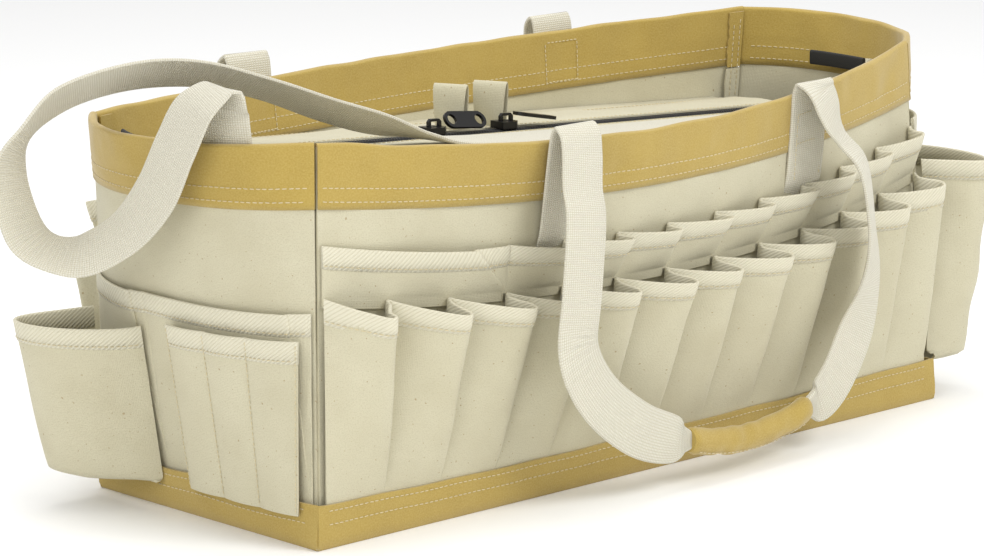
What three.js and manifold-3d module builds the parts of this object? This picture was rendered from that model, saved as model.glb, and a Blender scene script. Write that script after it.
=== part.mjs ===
// Rectangular canvas tool bag: duck canvas walls with a folded rim band and a base band, two tiers of
// pleated tool pockets on the long sides, end pockets, two web carry handles with wrapped grips, a web
// shoulder strap and a recessed lid of two flaps closed by a two-slider zip.
// Millimetres. +X along the bag, -Y front, +Z up. Origin on the ground under the middle of the bag.
import * as THREE from "three";
import { mergeVertices } from "three/addons/utils/BufferGeometryUtils.js";
import Module from "manifold-3d";

// ---- driving dimensions -------------------------------------------------------------------------
const HALF_LENGTH = 298; // middle of the end wall's canvas at the base
const HALF_WIDTH = 106; // middle of the long wall's canvas at the base
const HEIGHT = 265; // top of the rim at the corners
const CANVAS = 2; // wall canvas, two plies
const POCKET_CANVAS = 1.4;
const BINDING = 2.4; // twill tape folded over a pocket's edge
const BINDING_HEIGHT = 15;
const BAND = 1.2; // one ply of the rim band
const RIM_BAND_HEIGHT = 43;
const BASE_BAND_HEIGHT = 30;
const BASE_CANVAS = 1.6;
const WEB_WIDTH = 38;
const WEB = 2.6; // thickness of the webbing
const GAP = 0.3; // between pieces that touch
const LAYER_GAP = 0.8; // between canvas layers, which are faceted differently
const CORNER_TRIM = 1.5; // each wall piece stops this short of the corner seam
const POCKETS_PER_SIDE = 12; // lower tier, one every two inches
const LOWER_TOP = 156;
const LOWER_DEPTH = 27;
const UPPER_TOP = 190;
const UPPER_DEPTH = 6;
const UPPER_FOOT = 150; // the upper tier is sewn to the wall here, behind the lower one
const WIDE_POCKET_SHARE = 3; // the first upper pocket is this many lower pockets wide
const PLEAT_SPAN = { front: 18, back: 18, left: 8, right: 8 }; // along a pocket's mouth, between fold lines
const FLAT_ROW = 45; // and one row for each of these up its flat part
const POCKET_FOOT = 18; // where the pocket strips start, under the base band
const PLEAT_FOOT = BASE_BAND_HEIGHT + 1.5; // where their pleats begin to open
const LID_HEIGHT = 221;
const LID_TILT = -0.055; // the lid falls by this share of the way along the bag
const LID_HINGE = 82; // distance of each flap's hinge line from the middle
const LID_HALF_LENGTH = 270;
const LID_CANVAS = 2;
const HINGE_GAP = 1.4; // clear on each side of a flap's hinge line
const CHAIN_HALF_WIDTH = 5;
const TAPE_WIDTH = 14; // zip tape that shows beside the chain

// ---- materials ----------------------------------------------------------------------------------
const material = (color, roughness, metalness = 0) =>
  new THREE.MeshStandardMaterial({ color, roughness, metalness });
const canvas = material(0xded8bd, 0.95);
const twill = material(0xe4dfc8, 0.9);
const gold = material(0xc2a14e, 0.92);
const webbing = material(0xe9e6d8, 0.85);
const blackTape = material(0x1c1b18, 0.8);
const blackMetal = material(0x141311, 0.45, 0.6);

const bag = new THREE.Group();
const add = (name, geometry, look) => {
  const mesh = new THREE.Mesh(geometry, look);
  mesh.name = name;
  bag.add(mesh);
};

// ---- closed solids from bent blocks -------------------------------------------------------------
const mix = (a, b, t) => a + (b - a) * t;

// Moves every vertex of a closed geometry through map, and turns the faces round if map mirrors them.
function bend(geometry, map) {
  const at = geometry.getAttribute("position");
  const p = new THREE.Vector3();
  for (let i = 0; i < at.count; i++) {
    p.fromBufferAttribute(at, i);
    const [x, y, z] = map(p.x, p.y, p.z);
    at.setXYZ(i, x, y, z);
  }
  if (signedVolume(geometry) < 0) flipFaces(geometry);
  geometry.computeVertexNormals();
  return geometry;
}

function signedVolume(geometry) {
  const at = geometry.getAttribute("position");
  const index = geometry.index;
  const count = index ? index.count : at.count;
  const corner = (k) => new THREE.Vector3().fromBufferAttribute(at, index ? index.getX(k) : k);
  let volume = 0;
  for (let k = 0; k < count; k += 3) {
    volume += corner(k).dot(corner(k + 1).cross(corner(k + 2))) / 6;
  }
  return volume;
}

function flipFaces(geometry) {
  const flat = geometry.index;
  if (flat) {
    for (let k = 0; k < flat.count; k += 3) {
      const b = flat.getX(k + 1);
      flat.setX(k + 1, flat.getX(k + 2));
      flat.setX(k + 2, b);
    }
    return;
  }
  for (const part of Object.values(geometry.attributes)) {
    const n = part.itemSize;
    for (let k = 0; k < part.count; k += 3) {
      for (let c = 0; c < n; c++) {
        const b = part.array[(k + 1) * n + c];
        part.array[(k + 1) * n + c] = part.array[(k + 2) * n + c];
        part.array[(k + 2) * n + c] = b;
      }
    }
  }
}

// A block cut into across x along x through cells, each of its unit coordinates passed to map.
const block = (across, along, through, map) =>
  bend(new THREE.BoxGeometry(1, 1, 1, across, along, through), (x, y, z) => map(x + 0.5, y + 0.5, z + 0.5));

// A flat outline swept in steps: map gets the outline's two coordinates and the share along the sweep.
const swept = (outline, steps, map) =>
  bend(new THREE.ExtrudeGeometry(outline, { steps, depth: 1, bevelEnabled: false }), (a, b, t) => map(a, b, t));

const polygon = (points) => new THREE.Shape(points.map(([x, y]) => new THREE.Vector2(x, y)));

const wasm = await Module();
wasm.setup();

function manifold(geometry) {
  const bare = new THREE.BufferGeometry();
  bare.setAttribute("position", geometry.getAttribute("position"));
  if (geometry.index) bare.setIndex(geometry.index);
  const welded = mergeVertices(bare, 1e-4);
  const vertProperties = new Float32Array(welded.getAttribute("position").array);
  const triVerts = new Uint32Array(welded.index.array);
  return new wasm.Manifold(new wasm.Mesh({ numProp: 3, vertProperties, triVerts }));
}

// One solid from two that overlap.
function joined(a, b) {
  const { vertProperties, triVerts } = manifold(a).add(manifold(b)).getMesh();
  const geometry = new THREE.BufferGeometry();
  geometry.setAttribute("position", new THREE.BufferAttribute(vertProperties, 3));
  geometry.setIndex(new THREE.BufferAttribute(triVerts, 1));
  geometry.computeVertexNormals();
  return geometry;
}

// ---- the four walls -----------------------------------------------------------------------------
// Each wall is seen from outside: s runs from its left corner to its right one, z up, off outwards.
// The rim's corners are not over the base's, because the canvas is soft: the third number is how much
// higher than the front left one each stands.
const baseCorners = {
  frontLeft: [-HALF_LENGTH, -HALF_WIDTH],
  frontRight: [HALF_LENGTH, -HALF_WIDTH],
  backRight: [HALF_LENGTH, HALF_WIDTH],
  backLeft: [-HALF_LENGTH, HALF_WIDTH],
};
const rimCorners = {
  frontLeft: [-HALF_LENGTH, -HALF_WIDTH, 0],
  frontRight: [HALF_LENGTH - 6, -HALF_WIDTH + 20, 2],
  backRight: [HALF_LENGTH + 6, HALF_WIDTH - 20, 9],
  backLeft: [-HALF_LENGTH - 10, HALF_WIDTH + 1, -5],
};
// bulge is how far the rim stands out at mid length, sag how far it dips there. The greater round is,
// the nearer to the corners the bulge begins.
const walls = {
  front: { from: "frontLeft", to: "frontRight", bulge: 41, sag: 20, round: 2 },
  right: { from: "frontRight", to: "backRight", bulge: 44, sag: 0, round: 2.7 },
  back: { from: "backRight", to: "backLeft", bulge: 42, sag: 3, round: 2 },
  left: { from: "backLeft", to: "frontLeft", bulge: 41, sag: 2, round: 2.7 },
};
for (const wall of Object.values(walls)) {
  const [x0, y0] = baseCorners[wall.from];
  const [x1, y1] = baseCorners[wall.to];
  wall.length = Math.hypot(x1 - x0, y1 - y0);
}

// The plan position of the wall's middle surface at s and height z.
function planPoint(wall, s, z) {
  const u = s / wall.length;
  const base = [0, 1].map((k) => mix(baseCorners[wall.from][k], baseCorners[wall.to][k], u));
  const from = rimCorners[wall.from];
  const to = rimCorners[wall.to];
  const span = Math.hypot(to[0] - from[0], to[1] - from[1]);
  const out = wall.bulge * (1 - Math.abs(2 * u - 1) ** wall.round);
  const rim = [
    mix(from[0], to[0], u) + ((to[1] - from[1]) / span) * out,
    mix(from[1], to[1], u) - ((to[0] - from[0]) / span) * out,
  ];
  const lean = z / HEIGHT;
  return [mix(base[0], rim[0], lean), mix(base[1], rim[1], lean)];
}

// A point off the wall: off is measured square to the wall in plan.
function wallPoint(wall, s, z, off) {
  const [x, y] = planPoint(wall, s, z);
  const [ax, ay] = planPoint(wall, s - 1, z);
  const [bx, by] = planPoint(wall, s + 1, z);
  const run = Math.hypot(bx - ax, by - ay);
  const u = s / wall.length;
  const rise = mix(rimCorners[wall.from][2], rimCorners[wall.to][2], u) - wall.sag * 4 * u * (1 - u);
  return [x + ((by - ay) / run) * off, y - ((bx - ax) / run) * off, z + rise * (z / HEIGHT)];
}

const WALL_STEPS = { front: 32, back: 32, left: 28, right: 28 };
const WALL_ROWS = 8;

function wallSheet(side, low, high, off, thickness, rows) {
  const wall = walls[side];
  return block(WALL_STEPS[side], rows, 1, (u, v, w) =>
    wallPoint(
      wall,
      mix(CORNER_TRIM, wall.length - CORNER_TRIM, u),
      mix(low, high, v),
      off + (w - 0.5) * thickness,
    ),
  );
}

// The band folded over the wall's top edge, an upside-down U in section.
function rimBand(side) {
  const wall = walls[side];
  const inner = CANVAS / 2 + LAYER_GAP;
  const outer = inner + BAND;
  const low = HEIGHT - RIM_BAND_HEIGHT;
  const under = HEIGHT - BAND;
  const section = polygon([
    [low, -outer],
    [HEIGHT, -outer],
    [HEIGHT, outer],
    [low, outer],
    [low, inner],
    [under, inner],
    [under, -inner],
    [low, -inner],
  ]);
  return swept(section, WALL_STEPS[side], (z, off, t) =>
    wallPoint(wall, mix(CORNER_TRIM, wall.length - CORNER_TRIM, t), z, off),
  );
}

const WALL_FOOT = BASE_CANVAS + GAP;
const WALL_TOP = HEIGHT - BAND - LAYER_GAP;
const UPPER_OFF = CANVAS / 2 + LAYER_GAP + POCKET_CANVAS / 2;
const LOWER_OFF = UPPER_OFF + POCKET_CANVAS + LAYER_GAP;
const BASE_BAND_OFF = LOWER_OFF + (POCKET_CANVAS + BASE_CANVAS) / 2 + LAYER_GAP;

for (const side of Object.keys(walls)) {
  add(side + "_wall_panel", wallSheet(side, WALL_FOOT, WALL_TOP, 0, CANVAS, WALL_ROWS), canvas);
  add(side + "_rim_band", rimBand(side), gold);
  add(side + "_base_band", wallSheet(side, WALL_FOOT, BASE_BAND_HEIGHT, BASE_BAND_OFF, BASE_CANVAS, 1), gold);
}

// ---- floor ---------------------------------------------------------------------------------------
const slab = (x0, x1, y0, y1, z0, z1, cells = 1) =>
  block(cells, 1, 1, (u, v, w) => [mix(x0, x1, u), mix(y0, y1, v), mix(z0, z1, w)]);

const BOOT_HALF_LENGTH = HALF_LENGTH + BASE_BAND_OFF + BASE_CANVAS / 2;
const BOOT_HALF_WIDTH = HALF_WIDTH + BASE_BAND_OFF + BASE_CANVAS / 2;
const FLOOR_MARGIN = CANVAS / 2 + 1.5;
add("base_boot", slab(-BOOT_HALF_LENGTH, BOOT_HALF_LENGTH, -BOOT_HALF_WIDTH, BOOT_HALF_WIDTH, 0, BASE_CANVAS), gold);
add(
  "floor_panel",
  slab(
    FLOOR_MARGIN - HALF_LENGTH,
    HALF_LENGTH - FLOOR_MARGIN,
    FLOOR_MARGIN - HALF_WIDTH,
    HALF_WIDTH - FLOOR_MARGIN,
    WALL_FOOT,
    WALL_FOOT + CANVAS,
  ),
  canvas,
);

// ---- pleated pocket strips ------------------------------------------------------------------------
// In plan each pocket leaves the wall at its left seam, slants out to a rounded fold over its right
// seam, and turns straight back. outline gives [s, off] points, off counted from the strip's own seat.
function pleatPoints(side, seams, depth) {
  const points = [[seams[0], 0]];
  for (let i = 0; i + 1 < seams.length; i++) {
    const [a, b] = [seams[i], seams[i + 1]];
    const out = depth(i);
    const spans = Math.max(3, Math.round((b - a) / PLEAT_SPAN[side]));
    for (let k = 1; k <= spans; k++) {
      points.push([mix(a, b - 7, k / spans), out * Math.sin(((Math.PI / 2) * k) / spans) ** 1.6]);
    }
    points.push([b - 3, 0.88 * out]);
    points.push([b - 2, 0.15 * out]);
    points.push([b, 0]);
  }
  return points;
}

// The point at index k of the outline, moved w square to the outline's own run.
function offsetPoint(points, k, w) {
  const a = points[Math.max(k - 1, 0)];
  const b = points[Math.min(k + 1, points.length - 1)];
  const run = Math.hypot(b[0] - a[0], b[1] - a[1]);
  return [points[k][0] - ((b[1] - a[1]) / run) * w, points[k][1] + ((b[0] - a[0]) / run) * w];
}

// The long sides' mouths rise towards the corners and droop at the folds.
const MOUTH_DROOP = 0.27; // for each millimetre that a fold stands out
function mouthRise(side, s) {
  const u = s / walls[side].length;
  return side === "front" || side === "back" ? 9 * (1 - u) ** 5 + 14 * u ** 4 : 0;
}

// A strip through the given heights whose pleats open from flat at foot to full depth at top.
function pocketStrip(side, seams, depth, seat, levels, foot, top, thickness) {
  const wall = walls[side];
  const cells = pleatPoints(side, seams, () => 0).length - 1;
  const rows = levels.length - 1;
  return block(cells, rows, 1, (u, v, w) => {
    const z = levels[Math.round(v * rows)];
    const open = Math.max((z - foot) / (top - foot), 0) ** 0.8;
    const points = pleatPoints(side, seams, (i) => depth(i) * open);
    const k = Math.round(u * cells);
    const [s, off] = offsetPoint(points, k, (w - 0.5) * thickness);
    const shift = (mouthRise(side, points[k][0]) - MOUTH_DROOP * points[k][1]) * Math.min(z / LOWER_TOP, 1) ** 2;
    return wallPoint(wall, s, z + shift, seat + off);
  });
}

const STRIP_END = 5; // the strips stop this short of the corner seams
function evenSeams(side, count) {
  const length = walls[side].length;
  return Array.from({ length: count + 1 }, (_, i) => mix(STRIP_END, length - STRIP_END, i / count));
}

function pocketTier(name, side, seams, depth, seat, top, low = POCKET_FOOT, foot = PLEAT_FOOT) {
  const edge = top - BINDING_HEIGHT;
  const flatRows = Math.max(1, Math.round((foot - low) / FLAT_ROW));
  const flat = Array.from({ length: flatRows }, (_, i) => mix(low, foot, i / flatRows));
  const levels = [...flat, foot, mix(foot, edge, 0.4), edge - GAP];
  const tapeSeat = seat + (BINDING - POCKET_CANVAS) / 2;
  add(name + "_pockets", pocketStrip(side, seams, depth, seat, levels, foot, top, POCKET_CANVAS), canvas);
  add(name + "_binding", pocketStrip(side, seams, depth, tapeSeat, [edge, top], foot, top, BINDING), twill);
}

for (const side of ["front", "back"]) {
  const lower = evenSeams(side, POCKETS_PER_SIDE);
  const upper = [lower[0], ...lower.slice(WIDE_POCKET_SHARE)];
  pocketTier(side + "_lower", side, lower, () => LOWER_DEPTH, LOWER_OFF, LOWER_TOP);
  const shallow = (i) => (i ? UPPER_DEPTH : UPPER_DEPTH / 2);
  pocketTier(side + "_upper", side, upper, shallow, UPPER_OFF, UPPER_TOP, UPPER_FOOT, LOWER_TOP + 1);
}

// ---- end pockets -----------------------------------------------------------------------------------
const END_LENGTH = walls.left.length;
const LEFT_PANEL_TOP = 155;
const LEFT_GUSSET_TOP = 131;
const LEFT_SEAM = 74; // where the left panel is sewn down between its pockets
const LEFT_GUSSET_WIDTH = 67;
const LEFT_GUSSET_DEPTH = 50;
const SLOT_TOP = 138;
const RIGHT_PANEL_TOP = 208;
const RIGHT_GUSSET_TOP = 178;
const RIGHT_GUSSET_WIDTH = 76;
const RIGHT_GUSSET_DEPTH = 46;
const GUSSET_FOOT = 18;
const END_PANEL_OFF = UPPER_OFF + 0.5; // the end walls bend more

pocketTier("left_panel", "left", [STRIP_END, LEFT_SEAM, END_LENGTH - STRIP_END], () => 3, END_PANEL_OFF, LEFT_PANEL_TOP);
pocketTier("right_panel", "right", evenSeams("right", 2), () => 14, END_PANEL_OFF, RIGHT_PANEL_TOP);

// Three narrow slots sewn flat on the left panel's front half.
const SLOT_SPAN = [LEFT_SEAM + 16, END_LENGTH - 9];
const SLOT_FOOT = 22;
const SLOT_OFF = LOWER_OFF + 4.4;
function slotPatch(low, high, thickness) {
  const wall = walls.left;
  const cells = 18;
  return block(cells, 1, 1, (u, v, w) => {
    const cell = Math.round(u * cells);
    const puff = cell % 6 ? 3 : 0;
    return wallPoint(wall, mix(...SLOT_SPAN, u), mix(low, high, v), SLOT_OFF + puff + (w - 0.5) * thickness);
  });
}
add("left_slot_patch", slotPatch(SLOT_FOOT, SLOT_TOP - BINDING_HEIGHT - GAP, POCKET_CANVAS), canvas);
add("left_slot_binding", slotPatch(SLOT_TOP - BINDING_HEIGHT, SLOT_TOP, BINDING), twill);

// A deep pocket that stands out most over the corner: outline in [s, off], deepest at the corner side.
function gussetPocket(side, width, depth, low, high, top, thickness) {
  const wall = walls[side];
  const seat = LOWER_OFF + 10;
  const outline = [
    [0, 0],
    [0.02, 0.5],
    [0.04, 0.92],
    [0.12, 1],
    [0.45, 0.78],
    [0.8, 0.32],
    [1, 0.06],
  ];
  const cells = outline.length - 1;
  return block(cells, 3, 1, (u, v, w) => {
    const z = mix(low, high, v);
    const open = mix(0.8, 1, Math.min((z - GUSSET_FOOT) / (top - GUSSET_FOOT), 1) ** 0.7);
    const points = outline.map(([s, off]) => [STRIP_END + s * width, off * depth * open]);
    const [s, off] = offsetPoint(points, Math.round(u * cells), (w - 0.5) * thickness);
    return wallPoint(wall, s, z, seat + off);
  });
}
function gusset(side, width, depth, top) {
  const edge = top - BINDING_HEIGHT;
  add(side + "_gusset_pocket", gussetPocket(side, width, depth, GUSSET_FOOT + 6, edge - GAP, top, POCKET_CANVAS), canvas);
  add(side + "_gusset_binding", gussetPocket(side, width, depth, edge, top, top, BINDING), twill);
}
gusset("left", LEFT_GUSSET_WIDTH, LEFT_GUSSET_DEPTH, LEFT_GUSSET_TOP);
gusset("right", RIGHT_GUSSET_WIDTH, RIGHT_GUSSET_DEPTH, RIGHT_GUSSET_TOP);

// ---- lid ---------------------------------------------------------------------------------------------
// Two canvas flaps swing on the hems sewn round the inside of the walls and meet at the zip.
const INNER_OFF = -CANVAS / 2 - LAYER_GAP;
const LID_Z = LID_HEIGHT - LID_CANVAS / 2;
const HEM_MARGIN = 22; // the hem stops this short of the wall's ends
const HEM_STEPS = 16;
function lidHem(side) {
  const wall = walls[side];
  const facing = side === "front" ? -1 : 1;
  return block(HEM_STEPS, 2, 1, (u, v, w) => {
    const s = mix(HEM_MARGIN, wall.length - HEM_MARGIN, u);
    const fall = LID_TILT * planPoint(wall, s, LID_HEIGHT)[0];
    const edge = Math.min(LID_HEIGHT - 6 + fall, HEIGHT - RIM_BAND_HEIGHT - 3.5);
    const [x, y, z] = wallPoint(wall, s, edge, INNER_OFF);
    const thick = (w - 0.5) * LID_CANVAS;
    return [x, mix(y, facing * (LID_HINGE + HINGE_GAP), v), mix(z, LID_Z + LID_TILT * x, v) + thick];
  });
}

const ZIP_RISE = 6; // the zip lies this much higher than the hinge lines
const TAPE_EDGE = CHAIN_HALF_WIDTH + TAPE_WIDTH;
const lidSlope = (y) => LID_Z + ZIP_RISE * (1 - (Math.abs(y) / LID_HINGE) ** 2);
const tilted = (geometry) => bend(geometry, (x, y, z) => [x, y, z + LID_TILT * x]);
function lidStrip(facing, near, far, halfLength, thickness, cells) {
  return block(1, cells, 1, (u, v, w) => {
    const y = mix(near, far, v);
    return [mix(-halfLength, halfLength, u), facing * y, lidSlope(y) + (w - 0.5) * thickness];
  });
}

const ZIP_HALF_LENGTH = LID_HALF_LENGTH - 6;
const ZIP_TAPE = 0.9;
const CHAIN_HEIGHT = 3.2;
for (const [side, facing] of [["front", -1], ["back", 1]]) {
  add(side + "_lid_hem", lidHem(side), canvas);
  const flap = lidStrip(facing, TAPE_EDGE + GAP, LID_HINGE - HINGE_GAP, LID_HALF_LENGTH, LID_CANVAS, 4);
  add(side + "_lid_flap", tilted(flap), canvas);
  const tape = lidStrip(facing, CHAIN_HALF_WIDTH - 2, TAPE_EDGE, ZIP_HALF_LENGTH, ZIP_TAPE, 1);
  const teeth = lidStrip(facing, GAP / 2, CHAIN_HALF_WIDTH, ZIP_HALF_LENGTH - 4, CHAIN_HEIGHT, 1);
  add(side + "_zip_half", tilted(joined(tape, teeth)), blackTape);
}

// ---- sliders, pull tabs and pull loops -----------------------------------------------------------------
const SLIDER = { length: 17, width: 13, height: 5, clear: 0.4 };
const BAIL_HEIGHT = 5;
const PULL = { length: 38, width: 12.5, thickness: 2.4, hole: 3.9 };
const LOOP_BACK = 21.5; // the loops stand this far behind the zip
const LOOP = { width: 25, height: 31, thickness: 1.4, spread: 8 };
const CHAIN_TOP = LID_Z + ZIP_RISE + CHAIN_HEIGHT / 2;
const SLIDER_FOOT = CHAIN_TOP + SLIDER.clear;
const BAIL_Z = SLIDER_FOOT + SLIDER.height + BAIL_HEIGHT / 2;
// roll turns the tab about its own length, dip lowers its far end; both in degrees.
const sliders = [
  { name: "left", x: -98, roll: 55, dip: 3, loopX: -62 },
  { name: "right", x: -30, roll: 0, dip: 8, loopX: -24 },
];

// A wedge-nosed slider body with a bail rising from its top.
function sliderBody(x) {
  const { length, width, height } = SLIDER;
  const nose = length / 2;
  const outline = polygon([
    [-nose, -width / 2],
    [nose - 4, -width / 2],
    [nose, -width / 4],
    [nose, width / 4],
    [nose - 4, width / 2],
    [-nose, width / 2],
  ]);
  const body = new THREE.ExtrudeGeometry(outline, { depth: height, bevelEnabled: false });
  return body.translate(x, 0, SLIDER_FOOT);
}

function sliderBail(x) {
  const arch = new THREE.Shape();
  arch.moveTo(-6, 0);
  arch.lineTo(6, 0);
  arch.lineTo(6, BAIL_HEIGHT - 1);
  arch.lineTo(4, BAIL_HEIGHT + 1);
  arch.lineTo(-4, BAIL_HEIGHT + 1);
  arch.lineTo(-6, BAIL_HEIGHT - 1);
  const slot = new THREE.Path();
  slot.moveTo(-3.6, 0.8);
  slot.lineTo(-3.6, BAIL_HEIGHT - 0.8);
  slot.lineTo(3.6, BAIL_HEIGHT - 0.8);
  slot.lineTo(3.6, 0.8);
  arch.holes.push(slot);
  const bail = new THREE.ExtrudeGeometry(arch, { depth: 2.4, bevelEnabled: false });
  return bail.rotateX(Math.PI / 2).translate(x, 1.2, SLIDER_FOOT + SLIDER.height - 0.5);
}

// A flat plate with a round hole at each end, lying along the zip from the bail.
function pullTab(x, roll, dip) {
  const { length, width, thickness, hole } = PULL;
  const plate = new THREE.Shape();
  const r = width / 2;
  plate.absarc(length - r, 0, r, -Math.PI / 2, Math.PI / 2);
  plate.absarc(r, 0, r, Math.PI / 2, (3 * Math.PI) / 2);
  for (const cx of [r, length - r]) {
    const ring = new THREE.Path();
    ring.absarc(cx, 0, hole, 0, 2 * Math.PI, true);
    plate.holes.push(ring);
  }
  const solid = new THREE.ExtrudeGeometry(plate, { depth: thickness, bevelEnabled: false, curveSegments: 8 });
  const degree = Math.PI / 180;
  return solid.rotateX(roll * degree).rotateY(dip * degree).translate(x + 9, 0, BAIL_Z + 1);
}

// A folded tape standing behind the slider, square to the zip.
function pullLoop(x) {
  const { width, height, thickness, spread } = LOOP;
  const legs = 6;
  const bottom = LID_Z + ZIP_RISE + LID_CANVAS / 2 + LAYER_GAP;
  return block(1, 2 * legs, 1, (u, v, w) => {
    const turn = Math.PI * v;
    const lean = (spread / 2 - (w - 0.5) * thickness) * Math.cos(turn);
    const rise = height * Math.sin(turn) ** 0.6 - (w > 0.5 ? 0 : thickness * Math.sin(turn));
    return [x + lean, LOOP_BACK - (u - 0.5) * width, bottom + rise];
  });
}

for (const { name, x, roll, dip, loopX } of sliders) {
  add(name + "_slider", tilted(joined(sliderBody(x), sliderBail(x))), blackMetal);
  add(name + "_pull_tab", tilted(pullTab(x, roll, dip)), blackMetal);
  add(name + "_pull_loop", tilted(pullLoop(loopX)), canvas);
}

// ---- lid ends: canvas strips from the end walls with a black bound edge -----------------------------------
const LID_END = { left: { from: -24, to: 77, z: 247, reach: 14 }, right: { from: -31, to: 37, z: 240, reach: 14 } };
for (const [side, end] of Object.entries(LID_END)) {
  const facing = side === "left" ? -1 : 1;
  const wall = walls[side];
  const strip = (near, far, low, high) =>
    block(8, 1, 1, (u, v, w) => {
      const s = wall.length / 2 + facing * mix(end.from, end.to, u);
      const [x, y] = wallPoint(wall, s, end.z, -CANVAS / 2 - 4 * LAYER_GAP - BAND);
      return [x - facing * mix(near, far, v), y, end.z + mix(low, high, w)];
    });
  add(side + "_lid_end", strip(0, end.reach, -1, 1), canvas);
  add(side + "_lid_end_binding", strip(end.reach + GAP, end.reach + GAP + 3, -5, 5), blackTape);
}

// ---- webbing ---------------------------------------------------------------------------------------------
// A flat web through stations. Each has its centre, the direction from one edge of the web to the
// other, and, where the web is folded up, its width and thickness.
function web(stations, steps) {
  const path = new THREE.CatmullRomCurve3(stations.map((k) => new THREE.Vector3(...k.at)), false, "centripetal");
  const last = stations.length - 1;
  return block(1, steps, 1, (u, v, w) => {
    const i = Math.min(Math.floor(v * last), last - 1);
    const share = v * last - i;
    const [a, b] = [stations[i], stations[i + 1]];
    const centre = path.getPoint(v);
    const tangent = path.getTangent(v);
    const edge = new THREE.Vector3(...a.edge).normalize().lerp(new THREE.Vector3(...b.edge).normalize(), share);
    edge.addScaledVector(tangent, -edge.dot(tangent)).normalize();
    const face = new THREE.Vector3().crossVectors(tangent, edge);
    const width = mix(a.width ?? WEB_WIDTH, b.width ?? WEB_WIDTH, share);
    const thickness = mix(a.thickness ?? WEB, b.thickness ?? WEB, share);
    centre.addScaledVector(edge, (u - 0.5) * width).addScaledVector(face, (w - 0.5) * thickness);
    return [centre.x, centre.y, centre.z];
  });
}

// ---- carry handles -----------------------------------------------------------------------------------------
// Each handle hangs from two anchors sewn to the wall. In the handle's own frame a point is
// [along the wall, out from the rim, height].
const ANCHOR_OFF = CANVAS / 2 + 2 * LAYER_GAP + BAND + WEB / 2;
const ANCHOR_TOP = 254;
const PIVOT_OUT = 11;
const HANDLE_BOW = 0.4; // the leg nearer the grip bows out by this share of the grip's shift
const PIVOT_RISE = { front: 1.5, back: 6 }; // the pivots' height over the rim's middle between the anchors
const HANG = 33; // how far out the pockets hold the legs
const GRIP_HALF = 63;
const GRIP_Z = 24;
const GRIP_RISE = 9; // the grip's ends stand this much higher than its middle
const GRIP_SIZE = [15, 19]; // across and down

function handleFrame(side, anchors) {
  const [a, b] = anchors.map((s) => wallPoint(walls[side], s, HEIGHT, 0));
  const span = Math.hypot(b[0] - a[0], b[1] - a[1]);
  const run = [(b[0] - a[0]) / span, (b[1] - a[1]) / span];
  const at = ([t, out, z]) => [
    (a[0] + b[0]) / 2 + run[0] * t + run[1] * out,
    (a[1] + b[1]) / 2 + run[1] * t - run[0] * out,
    z,
  ];
  return { at, half: span / 2, run, pivot: (a[2] + b[2]) / 2 + PIVOT_RISE[side] };
}

// The web from the pocket tops up over the rim band, where it starts to fold outwards.
function handleAnchor(side, s) {
  const rows = [
    [ANCHOR_OFF, UPPER_TOP + 9],
    [ANCHOR_OFF, HEIGHT - RIM_BAND_HEIGHT],
    [ANCHOR_OFF, ANCHOR_TOP],
    [ANCHOR_OFF + 1.5, ANCHOR_TOP + 6],
    [ANCHOR_OFF + 4, ANCHOR_TOP + 8.5],
  ];
  const tilt = [0, 0, 0, 0.5, 1]; // how far the web has turned to lie flat
  return block(1, rows.length - 1, 1, (u, v, w) => {
    const i = Math.round(v * (rows.length - 1));
    const thick = (w - 0.5) * WEB;
    const off = rows[i][0] + thick * (1 - tilt[i]);
    return wallPoint(walls[side], s + (u - 0.5) * WEB_WIDTH, rows[i][1] + thick * tilt[i], off);
  });
}

const GRIP_CORE = { width: 11, thickness: 6 }; // the web folded up inside the grip
const GRIP_WALL = 1.6;

// The web from one pivot down, through the grip and up to the other.
function handleWeb({ at, half, run, pivot }, shift) {
  const low = GRIP_Z + GRIP_RISE;
  const leg = (sign) => {
    const gripEnd = GRIP_HALF + sign * shift;
    const bow = Math.max(sign * shift, 0) * HANDLE_BOW;
    const knee = (share) => mix(gripEnd + 16, half + 20 + bow, share);
    return [
      { at: [half, PIVOT_OUT, pivot - 2], edge: [1, 0] },
      { at: [half + 6, PIVOT_OUT + 7, pivot - 28], edge: [1, -0.1] },
      { at: [half + 11 + 0.8 * bow, HANG - 3, 198], edge: [1, -0.1] },
      { at: [half + 17 + bow, HANG, 150], edge: [1, 0] },
      { at: [half + 20 + bow, HANG, 112], edge: [1, 0.1] },
      { at: [knee(0.78), HANG, 78], edge: [0.8, 0.6] },
      { at: [knee(0.38), HANG, 50], edge: [0.5, 0.85] },
      { at: [gripEnd + 16, HANG, low + 3], edge: [0.2, 1], width: 30, thickness: 4 },
      { at: [gripEnd + 3, HANG, low + 0.5], edge: [0, 1], ...GRIP_CORE },
      { at: [gripEnd - 25, HANG, GRIP_Z + GRIP_RISE * (1 - 25 / GRIP_HALF) ** 2], edge: [0, 1], ...GRIP_CORE },
    ].map((k) => ({
      ...k,
      at: at([sign * k.at[0], k.at[1], k.at[2]]),
      edge: [run[0] * k.edge[0] * sign, run[1] * k.edge[0] * sign, -k.edge[1]],
    }));
  };
  const middle = { at: at([shift, HANG, GRIP_Z]), edge: [0, 0, -1], ...GRIP_CORE };
  const turnOver = (k) => ({ ...k, edge: k.edge.map((c) => -c) });
  return web([...leg(-1).map(turnOver), turnOver(middle), ...leg(1).reverse().map(turnOver)], 40);
}

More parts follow.
